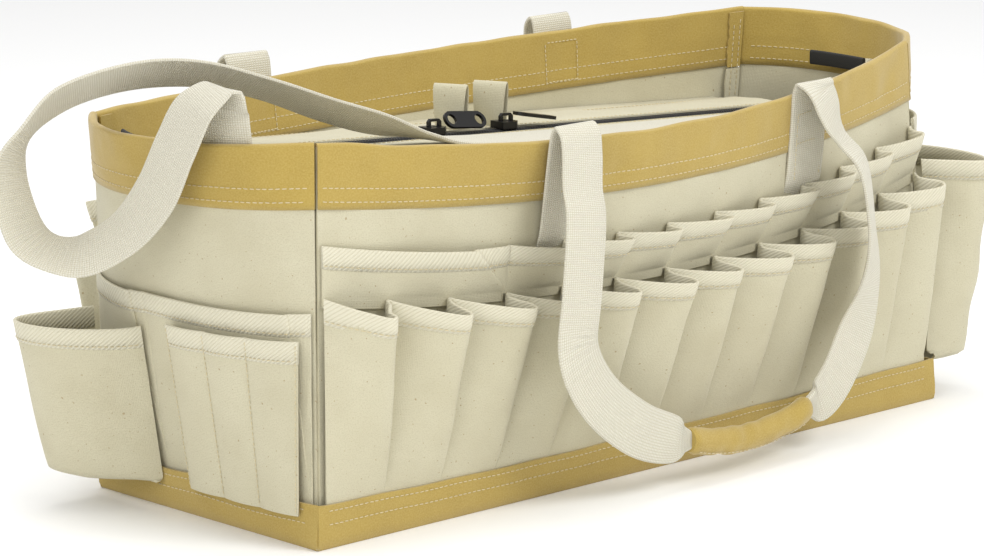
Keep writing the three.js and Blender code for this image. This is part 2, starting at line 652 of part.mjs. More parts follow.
// The wrapped grip: an oval sleeve that sags in the middle.
function handleGrip({ at }, shift) {
  const sides = 12;
  const oval = (across, down) =>
    Array.from({ length: sides }, (_, i) => {
      const turn = (2 * Math.PI * i) / sides;
      return new THREE.Vector2((across / 2) * Math.cos(turn), (down / 2) * Math.sin(turn));
    });
  const ring = new THREE.Shape(oval(...GRIP_SIZE));
  ring.holes.push(new THREE.Path(oval(GRIP_SIZE[0] - 2 * GRIP_WALL, GRIP_SIZE[1] - 2 * GRIP_WALL).reverse()));
  return swept(ring, 10, (out, up, t) => {
    const along = mix(-GRIP_HALF, GRIP_HALF, t);
    return at([along + shift, HANG + out, GRIP_Z + GRIP_RISE * (along / GRIP_HALF) ** 2 + up]);
  });
}

function handle(side, anchors, shift) {
  const frame = handleFrame(side, anchors);
  add(side + "_left_handle_anchor", handleAnchor(side, anchors[0]), webbing);
  add(side + "_right_handle_anchor", handleAnchor(side, anchors[1]), webbing);
  add(side + "_handle_web", handleWeb(frame, shift), webbing);
  add(side + "_handle_grip", handleGrip(frame, shift), gold);
}

handle("front", [HALF_LENGTH - 107, HALF_LENGTH + 145], 30);
handle("back", [HALF_LENGTH - 140, HALF_LENGTH + 140], 0);

// ---- shoulder strap -------------------------------------------------------------------------------------------
// It is sewn inside the left end wall, folds over the rim, loops round outside, goes back in and lies
// along the lid to the right end wall.
const STRAP_S = walls.left.length / 2 + 56;
const STRAP_OFF = -CANVAS / 2 - 2 * LAYER_GAP - BAND - WEB / 2;
const strapSeat = (z, across = 0) => wallPoint(walls.left, STRAP_S + across, z, STRAP_OFF);
const strapEdge = [0, 1, 2].map((k) => strapSeat(HEIGHT, 1)[k] - strapSeat(HEIGHT)[k]);
const strapSewn = block(1, 5, 1, (u, v, w) => {
  const off = STRAP_OFF + (w - 0.5) * WEB;
  return wallPoint(walls.left, STRAP_S + (u - 0.5) * WEB_WIDTH, mix(205, HEIGHT, v), off);
});
add("shoulder_strap_anchor", strapSewn, webbing);

const strapLoop = [
  { at: strapSeat(HEIGHT + 5), edge: strapEdge },
  { at: strapSeat(HEIGHT + 20), edge: strapEdge },
  { at: [-335, -58, 297], edge: [0, -1, 0] },
  { at: [-350, -50, 285], edge: [0, -1, -0.1] },
  { at: [-356, -38, 260], edge: [0, -1, -0.2] },
  { at: [-360, -21, 227], edge: [0, -0.95, -0.32] },
  { at: [-369, 3, 199], edge: [-0.2, -0.9, -0.42] },
  { at: [-386, 30, 184], edge: [-0.38, -0.8, -0.47] },
  { at: [-404, 54, 195], edge: [-0.93, -0.27, -0.25] },
  { at: [-408, 66, 236], edge: [-0.92, -0.36, 0.15] },
  { at: [-396, 64, 262], edge: [-0.8, -0.58, 0.08] },
  { at: [-370, 58, 282], edge: [-0.77, -0.5, 0.4] },
  { at: [-330, 38, 294], edge: [-0.57, -0.6, 0.55] },
  { at: [-288, 20, 293], edge: [-0.55, -0.62, 0.55] },
  { at: [-248, 0, 281], edge: [-0.43, -0.76, 0.49] },
  { at: [-210, -17, 265], edge: [-0.3, -0.82, 0.48] },
  { at: [-180, -31, 254], edge: [-0.14, -0.88, 0.4] },
  { at: [-150, -41, 244], edge: [0, -1, 0.1] },
  { at: [-120, -46, 238], edge: [0, -1, 0] },
];
add("shoulder_strap_loop", web(strapLoop, 48), webbing);

// The strap on the lid, height over the hinge lines last.
const onLid = ([x, y, rise]) => ({ at: [x, y, LID_Z + LID_TILT * x + rise], edge: [0, -1, 0] });
const strapLay = [
  [-112, -47, 10],
  [0, -50, 8.5],
  [120, -48, 8.5],
  [220, -48, 8.5],
  [258, -50, 10],
  [280, -52, 20],
  [292, -53, 34],
].map(onLid);
add("shoulder_strap_lay", web(strapLay, 14), webbing);

export default bag;
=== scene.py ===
# Looks of the canvas tool bag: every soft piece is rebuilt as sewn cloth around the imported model.
# Shapes are worked out in millimetres and turned into metres when a mesh is made.
import math

import bpy
import numpy as np
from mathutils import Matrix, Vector


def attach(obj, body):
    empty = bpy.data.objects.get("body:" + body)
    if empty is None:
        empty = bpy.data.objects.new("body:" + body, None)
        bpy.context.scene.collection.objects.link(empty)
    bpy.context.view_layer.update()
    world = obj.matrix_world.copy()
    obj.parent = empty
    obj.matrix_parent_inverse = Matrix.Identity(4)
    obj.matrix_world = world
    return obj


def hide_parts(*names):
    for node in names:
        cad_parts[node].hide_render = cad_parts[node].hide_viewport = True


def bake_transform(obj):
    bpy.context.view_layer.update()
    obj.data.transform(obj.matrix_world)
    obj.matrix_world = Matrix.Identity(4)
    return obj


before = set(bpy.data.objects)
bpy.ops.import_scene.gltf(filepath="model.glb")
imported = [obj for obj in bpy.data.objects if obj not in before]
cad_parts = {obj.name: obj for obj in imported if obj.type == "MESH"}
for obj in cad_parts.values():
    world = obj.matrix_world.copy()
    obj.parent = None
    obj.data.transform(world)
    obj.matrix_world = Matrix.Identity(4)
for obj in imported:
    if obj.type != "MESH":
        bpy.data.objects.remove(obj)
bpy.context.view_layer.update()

MM = 0.001
EDGE_UV = 0.002  # how far the cut edges of a sheet are unwrapped, in metres
rng = np.random.default_rng(7)

# ---- sizes of the bag ----------------------------------------------------------------------------
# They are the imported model's, but for a deeper upper tier and thicker edge tapes.
HALF_LENGTH = 298
HALF_WIDTH = 106
HEIGHT = 265
CANVAS = 2
POCKET_CANVAS = 1.4
BINDING = 2.6
BINDING_HEIGHT = 15
RIM_BAND_HEIGHT = 43
BASE_BAND_HEIGHT = 30
WEB_WIDTH = 38
WEB = 2.6
POCKETS_PER_SIDE = 12
LOWER_TOP = 156
LOWER_DEPTH = 27
UPPER_TOP = 190
UPPER_DEPTH = 13
UPPER_FOOT = 150
WIDE_POCKET_SHARE = 3
LID_HEIGHT = 220
LID_TILT = -0.055
ZIP_RISE = 6
LID_HINGE = 82
LID_HALF_LENGTH = 270
CHAIN_HALF_WIDTH = 5
TAPE_WIDTH = 14

# ---- the photograph's camera ---------------------------------------------------------------------
CAMERA_AT = (-1.9295, -1.9784, 0.6963)
CAMERA_TARGET = (-0.15976, -0.12228, 0.16014)
LENS = 146.3


def mix(a, b, t):
    return a + (b - a) * t


# ---- walls ---------------------------------------------------------------------------------------
BASE = {
    "front_left": (-HALF_LENGTH, -HALF_WIDTH),
    "front_right": (HALF_LENGTH, -HALF_WIDTH),
    "back_right": (HALF_LENGTH, HALF_WIDTH),
    "back_left": (-HALF_LENGTH, HALF_WIDTH),
}
# The third number is how much higher than the front left one each rim corner stands.
RIM = {
    "front_left": (-HALF_LENGTH, -HALF_WIDTH, 0),
    "front_right": (HALF_LENGTH - 6, -HALF_WIDTH + 20, 2),
    "back_right": (HALF_LENGTH + 6, HALF_WIDTH - 20, 9),
    "back_left": (-HALF_LENGTH - 10, HALF_WIDTH + 1, -5),
}
# First and last corner, bulge and sag of the rim at mid length, and how near the corners it bulges.
WALLS = {
    "front": ("front_left", "front_right", 41, 20, 2),
    "right": ("front_right", "back_right", 44, 0, 2.7),
    "back": ("back_right", "back_left", 42, 3, 2),
    "left": ("back_left", "front_left", 41, 2, 2.7),
}
LENGTH = {side: math.dist(BASE[w[0]], BASE[w[1]]) for side, w in WALLS.items()}


def plan_point(side, s, z):
    """Middle of the wall's canvas in plan; s and z may be arrays."""
    start, end, bulge, _, roundness = WALLS[side]
    u = s / LENGTH[side]
    base = [mix(BASE[start][k], BASE[end][k], u) for k in (0, 1)]
    (ax, ay, _), (bx, by, _) = RIM[start], RIM[end]
    span = math.hypot(bx - ax, by - ay)
    out = bulge * (1 - np.abs(2 * u - 1) ** roundness)
    rim = (mix(ax, bx, u) + (by - ay) / span * out, mix(ay, by, u) - (bx - ax) / span * out)
    lean = z / HEIGHT
    return mix(base[0], rim[0], lean), mix(base[1], rim[1], lean)


def wall_point(side, s, z, off):
    """A point off millimetres outside the wall, as an (..., 3) array."""
    s, z, off = np.broadcast_arrays(*[np.asarray(v, float) for v in (s, z, off)])
    x, y = plan_point(side, s, z)
    ax, ay = plan_point(side, s - 1, z)
    bx, by = plan_point(side, s + 1, z)
    run = np.hypot(bx - ax, by - ay)
    u = s / LENGTH[side]
    start, end, _, sag, _ = WALLS[side]
    rise = (mix(RIM[start][2], RIM[end][2], u) - sag * 4 * u * (1 - u)) * (z / HEIGHT)
    return np.stack([x + (by - ay) / run * off, y - (bx - ax) / run * off, z + rise], axis=-1)


def ripple(a, b, size, seed):
    """Smooth noise between about -1 and 1 over two coordinates, with features of about that size."""
    waves = np.random.default_rng(seed)
    total = 0
    for _ in range(7):
        turn, phase = waves.uniform(0, 2 * math.pi, 2)
        pitch = size * waves.uniform(0.7, 1.9)
        total = total + np.sin((a * math.cos(turn) + b * math.sin(turn)) * 2 * math.pi / pitch + phase)
    return total / 3.2


# ---- materials -----------------------------------------------------------------------------------
class Look:
    """A node material under construction."""

    def __init__(self, name, colour, roughness, metallic=0.0, sheen=0.0):
        self.material = bpy.data.materials.new(name)
        self.material.use_nodes = True
        self.tree = self.material.node_tree
        self.shader = self.tree.nodes["Principled BSDF"]
        self.shader.inputs["Base Color"].default_value = (*colour, 1)
        self.shader.inputs["Roughness"].default_value = roughness
        self.shader.inputs["Metallic"].default_value = metallic
        self.shader.inputs["Sheen Weight"].default_value = sheen
        self.uv = self.node("ShaderNodeUVMap").outputs["UV"]

    def node(self, kind, **settings):
        made = self.tree.nodes.new(kind)
        for key, value in settings.items():
            if key in made.inputs:
                made.inputs[key].default_value = value
            else:
                setattr(made, key, value)
        return made

    def link(self, source, target):
        self.tree.links.new(source, target)

    def turned(self, degrees):
        mapping = self.node("ShaderNodeMapping")
        mapping.inputs["Rotation"].default_value = (0, 0, math.radians(degrees))
        self.link(self.uv, mapping.inputs["Vector"])
        return mapping.outputs["Vector"]

    def noise(self, pitch, detail=3.0, roughness=0.55, where=None):
        made = self.node("ShaderNodeTexNoise", Scale=1 / pitch, Detail=detail, Roughness=roughness)
        self.link(where or self.uv, made.inputs["Vector"])
        return made.outputs["Fac"]

    def ribs(self, pitch, degrees, distortion=0.0):
        """Parallel ribs of that pitch in metres, running across the turned first coordinate."""
        made = self.node("ShaderNodeTexWave", Scale=0.314 / pitch, Distortion=distortion)
        self.link(self.turned(degrees), made.inputs["Vector"])
        return made.outputs["Fac"]

    def maths(self, operation, a, b):
        made = self.node("ShaderNodeMath", operation=operation)
        for value, socket in ((a, made.inputs[0]), (b, made.inputs[1])):
            if isinstance(value, (int, float)):
                socket.default_value = value
            else:
                self.link(value, socket)
        return made.outputs[0]

    def ramp(self, fac, low, high):
        made = self.node("ShaderNodeMapRange")
        self.link(fac, made.inputs["Value"])
        made.inputs["From Min"].default_value = low
        made.inputs["From Max"].default_value = high
        return made.outputs["Result"]

    def tint(self, fac, colour):
        """Lays colour over what the shader already shows, where fac is high."""
        base = self.shader.inputs["Base Color"]
        made = self.node("ShaderNodeMix", data_type="RGBA")
        made.inputs["A"].default_value = base.default_value
        sockets = [s for s in made.inputs if s.type == "RGBA"]
        if base.is_linked:
            self.link(base.links[0].from_socket, sockets[0])
        else:
            sockets[0].default_value = base.default_value
        sockets[1].default_value = (*colour, 1)
        self.link(fac, made.inputs["Factor"])
        self.link([s for s in made.outputs if s.type == "RGBA"][0], base)

    def bump(self, height, distance, strength=1.0):
        made = self.node("ShaderNodeBump", Distance=distance, Strength=strength)
        self.link(height, made.inputs["Height"])
        normal = self.shader.inputs["Normal"]
        if normal.is_linked:
            self.link(normal.links[0].from_socket, made.inputs["Normal"])
        self.link(made.outputs["Normal"], normal)


def canvas_look():
    look = Look("canvas_duck", (0.585, 0.55, 0.40), 0.93, sheen=0.15)
    look.tint(look.ramp(look.noise(0.05, 4), 0.35, 0.75), (0.52, 0.48, 0.335))
    look.tint(look.ramp(look.noise(0.0009, 2), 0.45, 0.85), (0.45, 0.405, 0.27))
    specks = look.ramp(look.noise(0.0024, 1, 0.3), 0.735, 0.77)
    look.tint(look.maths("MULTIPLY", specks, 0.75), (0.34, 0.25, 0.13))
    weave = look.maths("MULTIPLY", look.ribs(0.0011, 0, 0.6), look.ribs(0.0011, 90, 0.6))
    look.bump(weave, 0.00022, 0.55)
    look.bump(look.noise(0.006, 4), 0.0007, 0.35)
    return look.material


def tan_look():
    look = Look("canvas_tan", (0.41, 0.285, 0.056), 0.95, sheen=0.35)
    look.tint(look.ramp(look.noise(0.035, 4), 0.35, 0.75), (0.355, 0.24, 0.042))
    look.tint(look.ramp(look.noise(0.0012, 3), 0.35, 0.8), (0.475, 0.35, 0.10))
    look.bump(look.noise(0.0011, 2), 0.00025, 0.6)
    look.bump(look.noise(0.012, 4), 0.0012, 0.35)
    return look.material


def twill_look():
    look = Look("tape_twill", (0.66, 0.625, 0.485), 0.9, sheen=0.15)
    ribs = look.ribs(0.0021, 52, 0.5)
    look.tint(look.ramp(ribs, 0.40, 0.0), (0.565, 0.525, 0.385))
    look.bump(ribs, 0.0004, 0.6)
    look.bump(look.noise(0.0009, 2), 0.00012, 0.5)
    return look.material


def webbing_look():
    look = Look("webbing_cotton", (0.70, 0.675, 0.57), 0.88, sheen=0.2)
    rows = look.ribs(0.0015, 0, 0.3)
    columns = look.ribs(0.0018, 90, 0.3)
    basket = look.maths("MULTIPLY", rows, columns)
    look.tint(look.ramp(basket, 0.22, 0.0), (0.54, 0.50, 0.38))
    look.bump(basket, 0.0005, 0.9)
    look.bump(look.noise(0.0008, 2), 0.0001, 0.4)
    return look.material


def thread_look(name, colour):
    look = Look(name, colour, 0.75, sheen=0.1)
    look.bump(look.noise(0.0006, 2), 0.0001, 0.5)
    return look.material


def black_tape_look():
    look = Look("zip_black", (0.012, 0.0115, 0.01), 0.8, sheen=0.1)
    look.bump(look.maths("MULTIPLY", look.ribs(0.0012, 45), look.ribs(0.0012, -45)), 0.0002, 0.6)
    return look.material


def enamel_look():
    look = Look("slider_enamel", (0.010, 0.0095, 0.009), 0.32, metallic=0.3)
    generated = look.node("ShaderNodeTexCoord").outputs["Object"]
    look.bump(look.noise(0.002, 3, where=generated), 0.0001, 0.4)
    return look.material


CREAM = canvas_look()
TAN = tan_look()
TWILL = twill_look()
WEBBING = webbing_look()
THREAD = thread_look("thread_cream", (0.61, 0.525, 0.32))
BLACK_TAPE = black_tape_look()
ENAMEL = enamel_look()


# ---- meshes --------------------------------------------------------------------------------------
def make(name, vertices, faces, uvs, look, body="bag", replaces=(), sharp=()):
    """An object from points in millimetres; uvs has one pair for each corner, in metres."""
    mesh = bpy.data.meshes.new(name)
    mesh.from_pydata((np.asarray(vertices, float) * MM).tolist(), [], faces)
    layer = mesh.uv_layers.new(name="UVMap")
    layer.data.foreach_set("uv", np.asarray(uvs, float).ravel())
    mesh.polygons.foreach_set("use_smooth", [True] * len(mesh.polygons))
    mesh.update()
    if sharp:
        wanted = {tuple(sorted(e)) for e in sharp}
        marks = [tuple(sorted(e.vertices)) in wanted for e in mesh.edges]
        attribute = mesh.attributes.new("sharp_edge", "BOOLEAN", "EDGE")
        attribute.data.foreach_set("value", marks)
    mesh.materials.append(look)
    obj = bpy.data.objects.new(name, mesh)
    bpy.context.scene.collection.objects.link(obj)
    if body:
        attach(obj, body)
    if replaces:
        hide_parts(*replaces)
    return obj


def travelled(points, axis):
    """Distance run along one axis of a grid of points, averaged over the other, in metres."""
    step = np.linalg.norm(np.diff(points, axis=axis), axis=-1).mean(axis=1 - axis)
    return np.concatenate([[0], np.cumsum(step)]) * MM


def grid_normals(points):
    across = np.gradient(points, axis=0)
    along = np.gradient(points, axis=1)
    normal = np.cross(across, along)
    return normal / np.maximum(np.linalg.norm(normal, axis=-1, keepdims=True), 1e-9)


def shell(name, middle, thickness, look, **settings):
    """A closed sheet of cloth about a grid of middle points, (n, m, 3)."""
    n, m, _ = middle.shape
    half = np.broadcast_to(np.asarray(thickness, float), (n, m))[..., None] / 2
    normal = grid_normals(middle)
    outside, inside = middle + normal * half, middle - normal * half
    vertices = np.concatenate([outside.reshape(-1, 3), inside.reshape(-1, 3)])
    u, v = travelled(middle, 0), travelled(middle, 1)
    faces, uvs, sharp = [], [], []

    def at(side, i, j):
        return side * n * m + i * m + j

    def quad(*corners):
        faces.append([at(*c) for c in corners])
        uvs.extend([(u[c[1]], v[c[2]] + c[0] * EDGE_UV) for c in corners])

    for i in range(n - 1):
        for j in range(m - 1):
            quad((0, i, j), (0, i + 1, j), (0, i + 1, j + 1), (0, i, j + 1))
            quad((1, i, j), (1, i, j + 1), (1, i + 1, j + 1), (1, i + 1, j))
    for i in range(n - 1):
        quad((0, i, 0), (1, i, 0), (1, i + 1, 0), (0, i + 1, 0))
        quad((0, i, m - 1), (0, i + 1, m - 1), (1, i + 1, m - 1), (1, i, m - 1))
        sharp += [(at(k, i, j), at(k, i + 1, j)) for k in (0, 1) for j in (0, m - 1)]
    for j in range(m - 1):
        quad((0, 0, j), (0, 0, j + 1), (1, 0, j + 1), (1, 0, j))
        quad((0, n - 1, j), (1, n - 1, j), (1, n - 1, j + 1), (0, n - 1, j + 1))
        sharp += [(at(k, i, j), at(k, i, j + 1)) for k in (0, 1) for i in (0, n - 1)]
    return make(name, vertices, faces, uvs, look, sharp=sharp, **settings)


def loft(name, rings, look, **settings):
    """A closed solid through rings of points, (n, k, 3), capped at both ends."""
    n, k, _ = rings.shape
    loop = np.concatenate([rings, rings[:, :1]], axis=1)
    u, v = travelled(rings, 0), travelled(loop, 1)
    faces, uvs = [], []
    for i in range(n - 1):
        for j in range(k):
            faces.append([i * k + j, (i + 1) * k + j, (i + 1) * k + (j + 1) % k, i * k + (j + 1) % k])
            uvs.extend([(u[i], v[j]), (u[i + 1], v[j]), (u[i + 1], v[j + 1]), (u[i], v[j + 1])])
    faces.append(list(range(k)))
    uvs.extend([(u[0], value) for value in v[:k]])
    faces.append([(n - 1) * k + j for j in reversed(range(k))])
    uvs.extend([(u[-1], value) for value in v[:k][::-1]])
    sharp = [(i * k + j, i * k + (j + 1) % k) for i in (0, n - 1) for j in range(k)]
    if signed_volume(rings.reshape(-1, 3), faces) < 0:
        counts = [len(f) for f in faces]
        starts = np.concatenate([[0], np.cumsum(counts)])
        uvs = [pair for a, b in zip(starts[:-1], starts[1:]) for pair in uvs[a:b][::-1]]
        faces = [f[::-1] for f in faces]
    return make(name, rings.reshape(-1, 3), faces, uvs, look, sharp=sharp, **settings)


def signed_volume(vertices, faces):
    total = 0.0
    for face in faces:
        for b, c in zip(face[1:-1], face[2:]):
            total += np.dot(vertices[face[0]], np.cross(vertices[b], vertices[c])) / 6
    return total


def rounded(width, height, radius, steps=3):
    """A rounded rectangle centred on the origin, as (k, 2) points."""
    radius = min(radius, width / 2, height / 2)
    points = []
    for corner, (sx, sy) in enumerate(((1, 1), (-1, 1), (-1, -1), (1, -1))):
        centre = (sx * (width / 2 - radius), sy * (height / 2 - radius))
        for turn in np.linspace(corner, corner + 1, steps + 1) * math.pi / 2:
            points.append((centre[0] + radius * math.cos(turn), centre[1] + radius * math.sin(turn)))
    return np.array(points)


def spline(points, spans):
    """A Catmull-Rom curve through the rows of points, with that many steps between each two."""
    p = np.asarray(points, float)
    p = np.concatenate([[2 * p[0] - p[1]], p, [2 * p[-1] - p[-2]]])
    t = np.linspace(0, 1, spans, endpoint=False)[:, None]
    out = []
    for a, b, c, d in zip(p[:-3], p[1:-2], p[2:-1], p[3:]):
        out.append(b + 0.5 * t * (c - a + t * (2 * a - 5 * b + 4 * c - d + t * (3 * (b - c) + d - a))))
    return np.concatenate(out + [p[-2:-1]])


# ---- stitches ------------------------------------------------------------------------------------
STITCH = 3.1
STITCH_PITCH = 4.3
THREAD_RADIUS = 0.42
FINE_THREAD = 0.33
STITCH_JITTER = 0.2
STITCH_SKEW = 0.09
THREAD_SIDES = 6
THREAD_ROW = 1.5  # how far ahead and behind the line's run is read


def read(rows, run, at):
    """The row of three numbers at distance at along the run."""
    return np.array([np.interp(at, run, rows[:, c]) for c in range(3)])


def stitches(name, lines, body="bag", pitch=STITCH_PITCH, radius=THREAD_RADIUS):
    """Rows of short thread capsules. Each line is (points, outward directions), both (n, 3)."""
    vertices, faces, uvs = [], [], []
    ring = [(math.cos(t), math.sin(t)) for t in np.linspace(0, 2 * math.pi, THREAD_SIDES, endpoint=False)]
    profile = [(-0.5, 0.35), (-0.3, 0.9), (0.3, 0.9), (0.5, 0.35)]
    k, bands = THREAD_SIDES, len(profile) - 1
    for points, out in lines:
        points = np.asarray(points, float)
        run = np.concatenate([[0], np.cumsum(np.linalg.norm(np.diff(points, axis=0), axis=1))])
        count = int(run[-1] // pitch)
        for i in range(count):
            at = (i + 0.5) * pitch + rng.uniform(-STITCH_JITTER, STITCH_JITTER)
            place = read(points, run, at)
            ahead = read(points, run, at + THREAD_ROW)
            behind = read(points, run, at - THREAD_ROW)
            along = (ahead - behind) / max(np.linalg.norm(ahead - behind), 1e-9)
            up = read(out, run, at)
            up -= along * np.dot(up, along)
            up /= max(np.linalg.norm(up), 1e-9)
            side = np.cross(along, up)
            tilt = side * rng.uniform(-STITCH_SKEW, STITCH_SKEW)
            first = len(vertices)
            for share, size in profile:
                centre = place + (along + tilt) * share * STITCH * pitch / STITCH_PITCH
                for a, b in ring:
                    vertices.append(centre + (side * a + up * b * 0.8) * radius * size)
            for r in range(bands):
                for j in range(k):
                    a, b = first + r * k + j, first + r * k + (j + 1) % k
                    faces.append([a, b, b + k, a + k])
            faces.append([first + j for j in reversed(range(k))])
            faces.append([first + bands * k + j for j in range(k)])
            uvs.extend([(0.001 * j, 0.001 * i) for j in range(4 * bands * k + 2 * k)])
    return make(name, vertices, faces, uvs, THREAD, body)


def wall_line(side, s, z, off):
    """A stitch line on a wall, with the outward directions that go with it."""
    points = wall_point(side, s, z, off)
    out = wall_point(side, s, z, np.asarray(off, float) + np.sign(off)) - points
    return points, out


# ---- walls, rim and base -------------------------------------------------------------------------
WALL_FOOT = 2
BAND_PLY = 1.3
BASE_PLY = 1.6
LAYER_GAP = 0.8
RIM_IN = CANVAS / 2 + 0.25
UPPER_OFF = CANVAS / 2 + LAYER_GAP + POCKET_CANVAS / 2
LOWER_OFF = UPPER_OFF + POCKET_CANVAS + LAYER_GAP
BASE_OFF = LOWER_OFF + (POCKET_CANVAS + BASE_PLY) / 2 + 0.4


def wall_panel(side):
    length = LENGTH[side]
    s = np.linspace(0.6, length - 0.6, int(length / 6))[:, None]
    z = np.linspace(WALL_FOOT, HEIGHT - 2, 44)[None, :]
    edge = np.clip(np.minimum(s, length - s) / 30, 0, 1) * np.clip((HEIGHT - z) / 45, 0, 1)
    crease = edge * (1.1 * ripple(s, z, 95, len(side)) + 0.35 * ripple(s, z, 33, 3 + len(side)))
    middle = wall_point(side, s, z, crease)
    shell(side + "_canvas_wall", middle, CANVAS, CREAM, replaces=[side + "_wall_panel"])


def rim_band(side):
    """The tan band folded over the top edge, softly puckered along its stitching."""
    length = LENGTH[side]
    outer = RIM_IN + BAND_PLY
    low, top = HEIGHT - RIM_BAND_HEIGHT, HEIGHT
    arch = [(top - 2.0 + 1.9 * math.sin(t), outer * math.cos(t)) for t in np.linspace(0, math.pi, 9)]
    heights = np.linspace(low, top - 3.5, 9)
    section = [(z, outer) for z in heights] + arch + [(z, -outer) for z in heights[::-1]]
    under = top - 2.6
    section += [(low, -RIM_IN), (under, -RIM_IN + 0.2), (under, RIM_IN - 0.2), (low, RIM_IN)]
    section = np.array(section)
    s = np.linspace(0.4, length - 0.4, int(length / 5))[:, None]
    z, off = section[None, :, 0], section[None, :, 1]
    face = (np.abs(off) > RIM_IN + 0.1) & (z < top - 1)
    seed = 11 + len(side)

    def puff(s, z):
        """How far the cloth stands out between its stitch rows."""
        swell = 0.7 + 0.6 * ripple(s, z, 60, seed) + 0.3 * ripple(s, z, 18, seed + 1)
        dip = 0.5 * np.exp(-(((z - low - 5) / 2.2) ** 2)) + 0.5 * np.exp(-(((z - low - 14) / 2.2) ** 2))
        fade = np.clip(np.minimum(s, length - s) / 20, 0, 1) * np.clip((z - low) / 8, 0, 1)
        return swell * fade - dip

    off = off + np.where(face, np.sign(off) * puff(s, z), 0)
    wave = 0.5 * ripple(s, 0 * z, 45, seed + 2) * (z > top - 5)
    rings = wall_point(side, s, z + wave, off)
    loft(side + "_rim_fold", rings, TAN, replaces=[side + "_rim_band"])
    lines = []
    along = np.linspace(3, length - 3, 240)
    for rise in (5, 14):
        stand = outer + puff(along, low + rise + 0 * along) + 0.3
        for sign in (1, -1):
            lines.append(wall_line(side, along, low + rise, sign * stand))
    stitches(side + "_rim_stitches", lines)


def base_band(side):
    length = LENGTH[side]
    trim = -BASE_OFF + 0.4
    s = np.linspace(trim, length - trim, int(length / 6))[:, None]
    z = np.linspace(0.8, BASE_BAND_HEIGHT, 9)[None, :]
    seed = 31 + len(side)
    rise = 1.0 * ripple(s, 0 * z, 70, seed) * (z / BASE_BAND_HEIGHT)

    def stand(s, z):
        return BASE_OFF + 0.5 * ripple(s, z, 40, seed + 1) * np.sin(np.pi * z / BASE_BAND_HEIGHT)

    edge = -2.2 * np.clip(1 - z / 6, 0, 1) ** 2
    middle = wall_point(side, s, z + rise, stand(s, z) + edge)
    shell(side + "_base_wrap", middle, BASE_PLY, TAN, replaces=[side + "_base_band"])
    along = np.linspace(2, length - 2, 240)
    lines = []
    for drop in (4, 13):
        z = BASE_BAND_HEIGHT - drop + 0 * along
        height = z + 1.0 * ripple(along, 0 * z, 70, seed) * (z / BASE_BAND_HEIGHT)
        lines.append(wall_line(side, along, height, stand(along, z) + BASE_PLY / 2 + 0.3))
    stitches(side + "_base_stitches", lines)


def bottom():
    x, y = np.meshgrid(np.linspace(-1, 1, 25), np.linspace(-1, 1, 11), indexing="ij")
    reach = BASE_OFF - 1.2
    under = np.stack([x * (HALF_LENGTH + reach), y * (HALF_WIDTH + reach), 0 * x + 0.8], axis=-1)
    shell("base_underside", under, 1.5, TAN, replaces=["base_boot"])
    swell = 0.8 * ripple(x * 300, y * 100, 120, 5) * (1 - x**2) * (1 - y**2)
    inside = np.stack([x * (HALF_LENGTH - 2), y * (HALF_WIDTH - 2), 3.2 + np.maximum(swell, 0)], axis=-1)
    shell("floor_canvas", inside, 1.8, CREAM, replaces=["floor_panel"])


SIDES = ("front", "right", "back", "left")
for name in SIDES:
    wall_panel(name)
    rim_band(name)
    base_band(name)
bottom()


# ---- corner seams: the canvas edges stand up inside, sewn twice ----------------------------------
SEAM_WIDTH = 13


def corner_seam(name, side, at_start):
    length = LENGTH[side]
    reach = np.linspace(1.5, SEAM_WIDTH, 4)[:, None]
    s = reach if at_start else length - reach
    band_foot = HEIGHT - RIM_BAND_HEIGHT
    parts = (("canvas", 6, band_foot - 2, CREAM), ("band", band_foot - 1, HEIGHT - 3, TAN))
    for part, low, high, look in parts:
        z = np.linspace(low, high, 40)[None, :]
        fray = 0.6 * ripple(reach, z, 9, 50 + len(name)) * (reach / SEAM_WIDTH)
        middle = wall_point(side, s + fray, z, -RIM_IN - BAND_PLY - 1.6 + 0 * z)
        shell(f"{name}_seam_{part}", middle, 1.4, look)
    lines = []
    z = np.linspace(12, HEIGHT - 8, 60)
    for gap in (4, 9):
        where = gap if at_start else length - gap
        points = wall_point(side, where, z, -RIM_IN - BAND_PLY - 2.55)
        out = wall_point(side, where, z, -RIM_IN - BAND_PLY - 3.6) - points
        lines.append((points, out))
    stitches(name + "_seam_stitches", lines)


for side in ("front", "back"):
    start, end = WALLS[side][:2]
    corner_seam(start, side, True)
    corner_seam(end, side, False)


# ---- pleated pockets -----------------------------------------------------------------------------
POCKET_FOOT = 18
PLEAT_FOOT = BASE_BAND_HEIGHT + 1.5
STRIP_END = 2.5
PLEAT_STEPS = 5
MOUTH_DROOP = 0.27  # for each millimetre that a fold stands out
TAPE_STITCH = 2.2  # the height of its stitches over a tape's lower edge
STRIP_INSET = 6  # a strip ends this far below the top of its tape


def pleat_outline(seams, depths, tips):
    """Control points (s, off) of pockets that leave each seam, swing out to a fold and turn back."""
    points = [(seams[0], 0)]
    for a, b, out, tip in zip(seams[:-1], seams[1:], depths, tips):
        width = b - a
        fold = b - 4 + tip
        points += [
            (a + 0.07 * width, 0.14 * out),
            (mix(a, fold, 0.35), 0.50 * out),
            (mix(a, fold, 0.68), 0.84 * out),
            (fold - 6, 0.99 * out),
            (fold - 0.5, 1.0 * out),
            (fold + 2.4, 0.86 * out),
            (fold + 1.4, 0.68 * out),
            (mix(fold, b, 0.5) - 1.5, 0.47 * out),
            (b - 3.4, 0.24 * out),
            (b - 1.8, 0.07 * out),
            (b, 0),
        ]
    return np.array(points)


def beside(outline, w):
    """The outline of (s, off) points moved w millimetres to its left."""
    run = np.gradient(outline, axis=0)
    run /= np.maximum(np.linalg.norm(run, axis=1, keepdims=True), 1e-9)
    return outline + np.stack([-run[:, 1], run[:, 0]], axis=1) * w


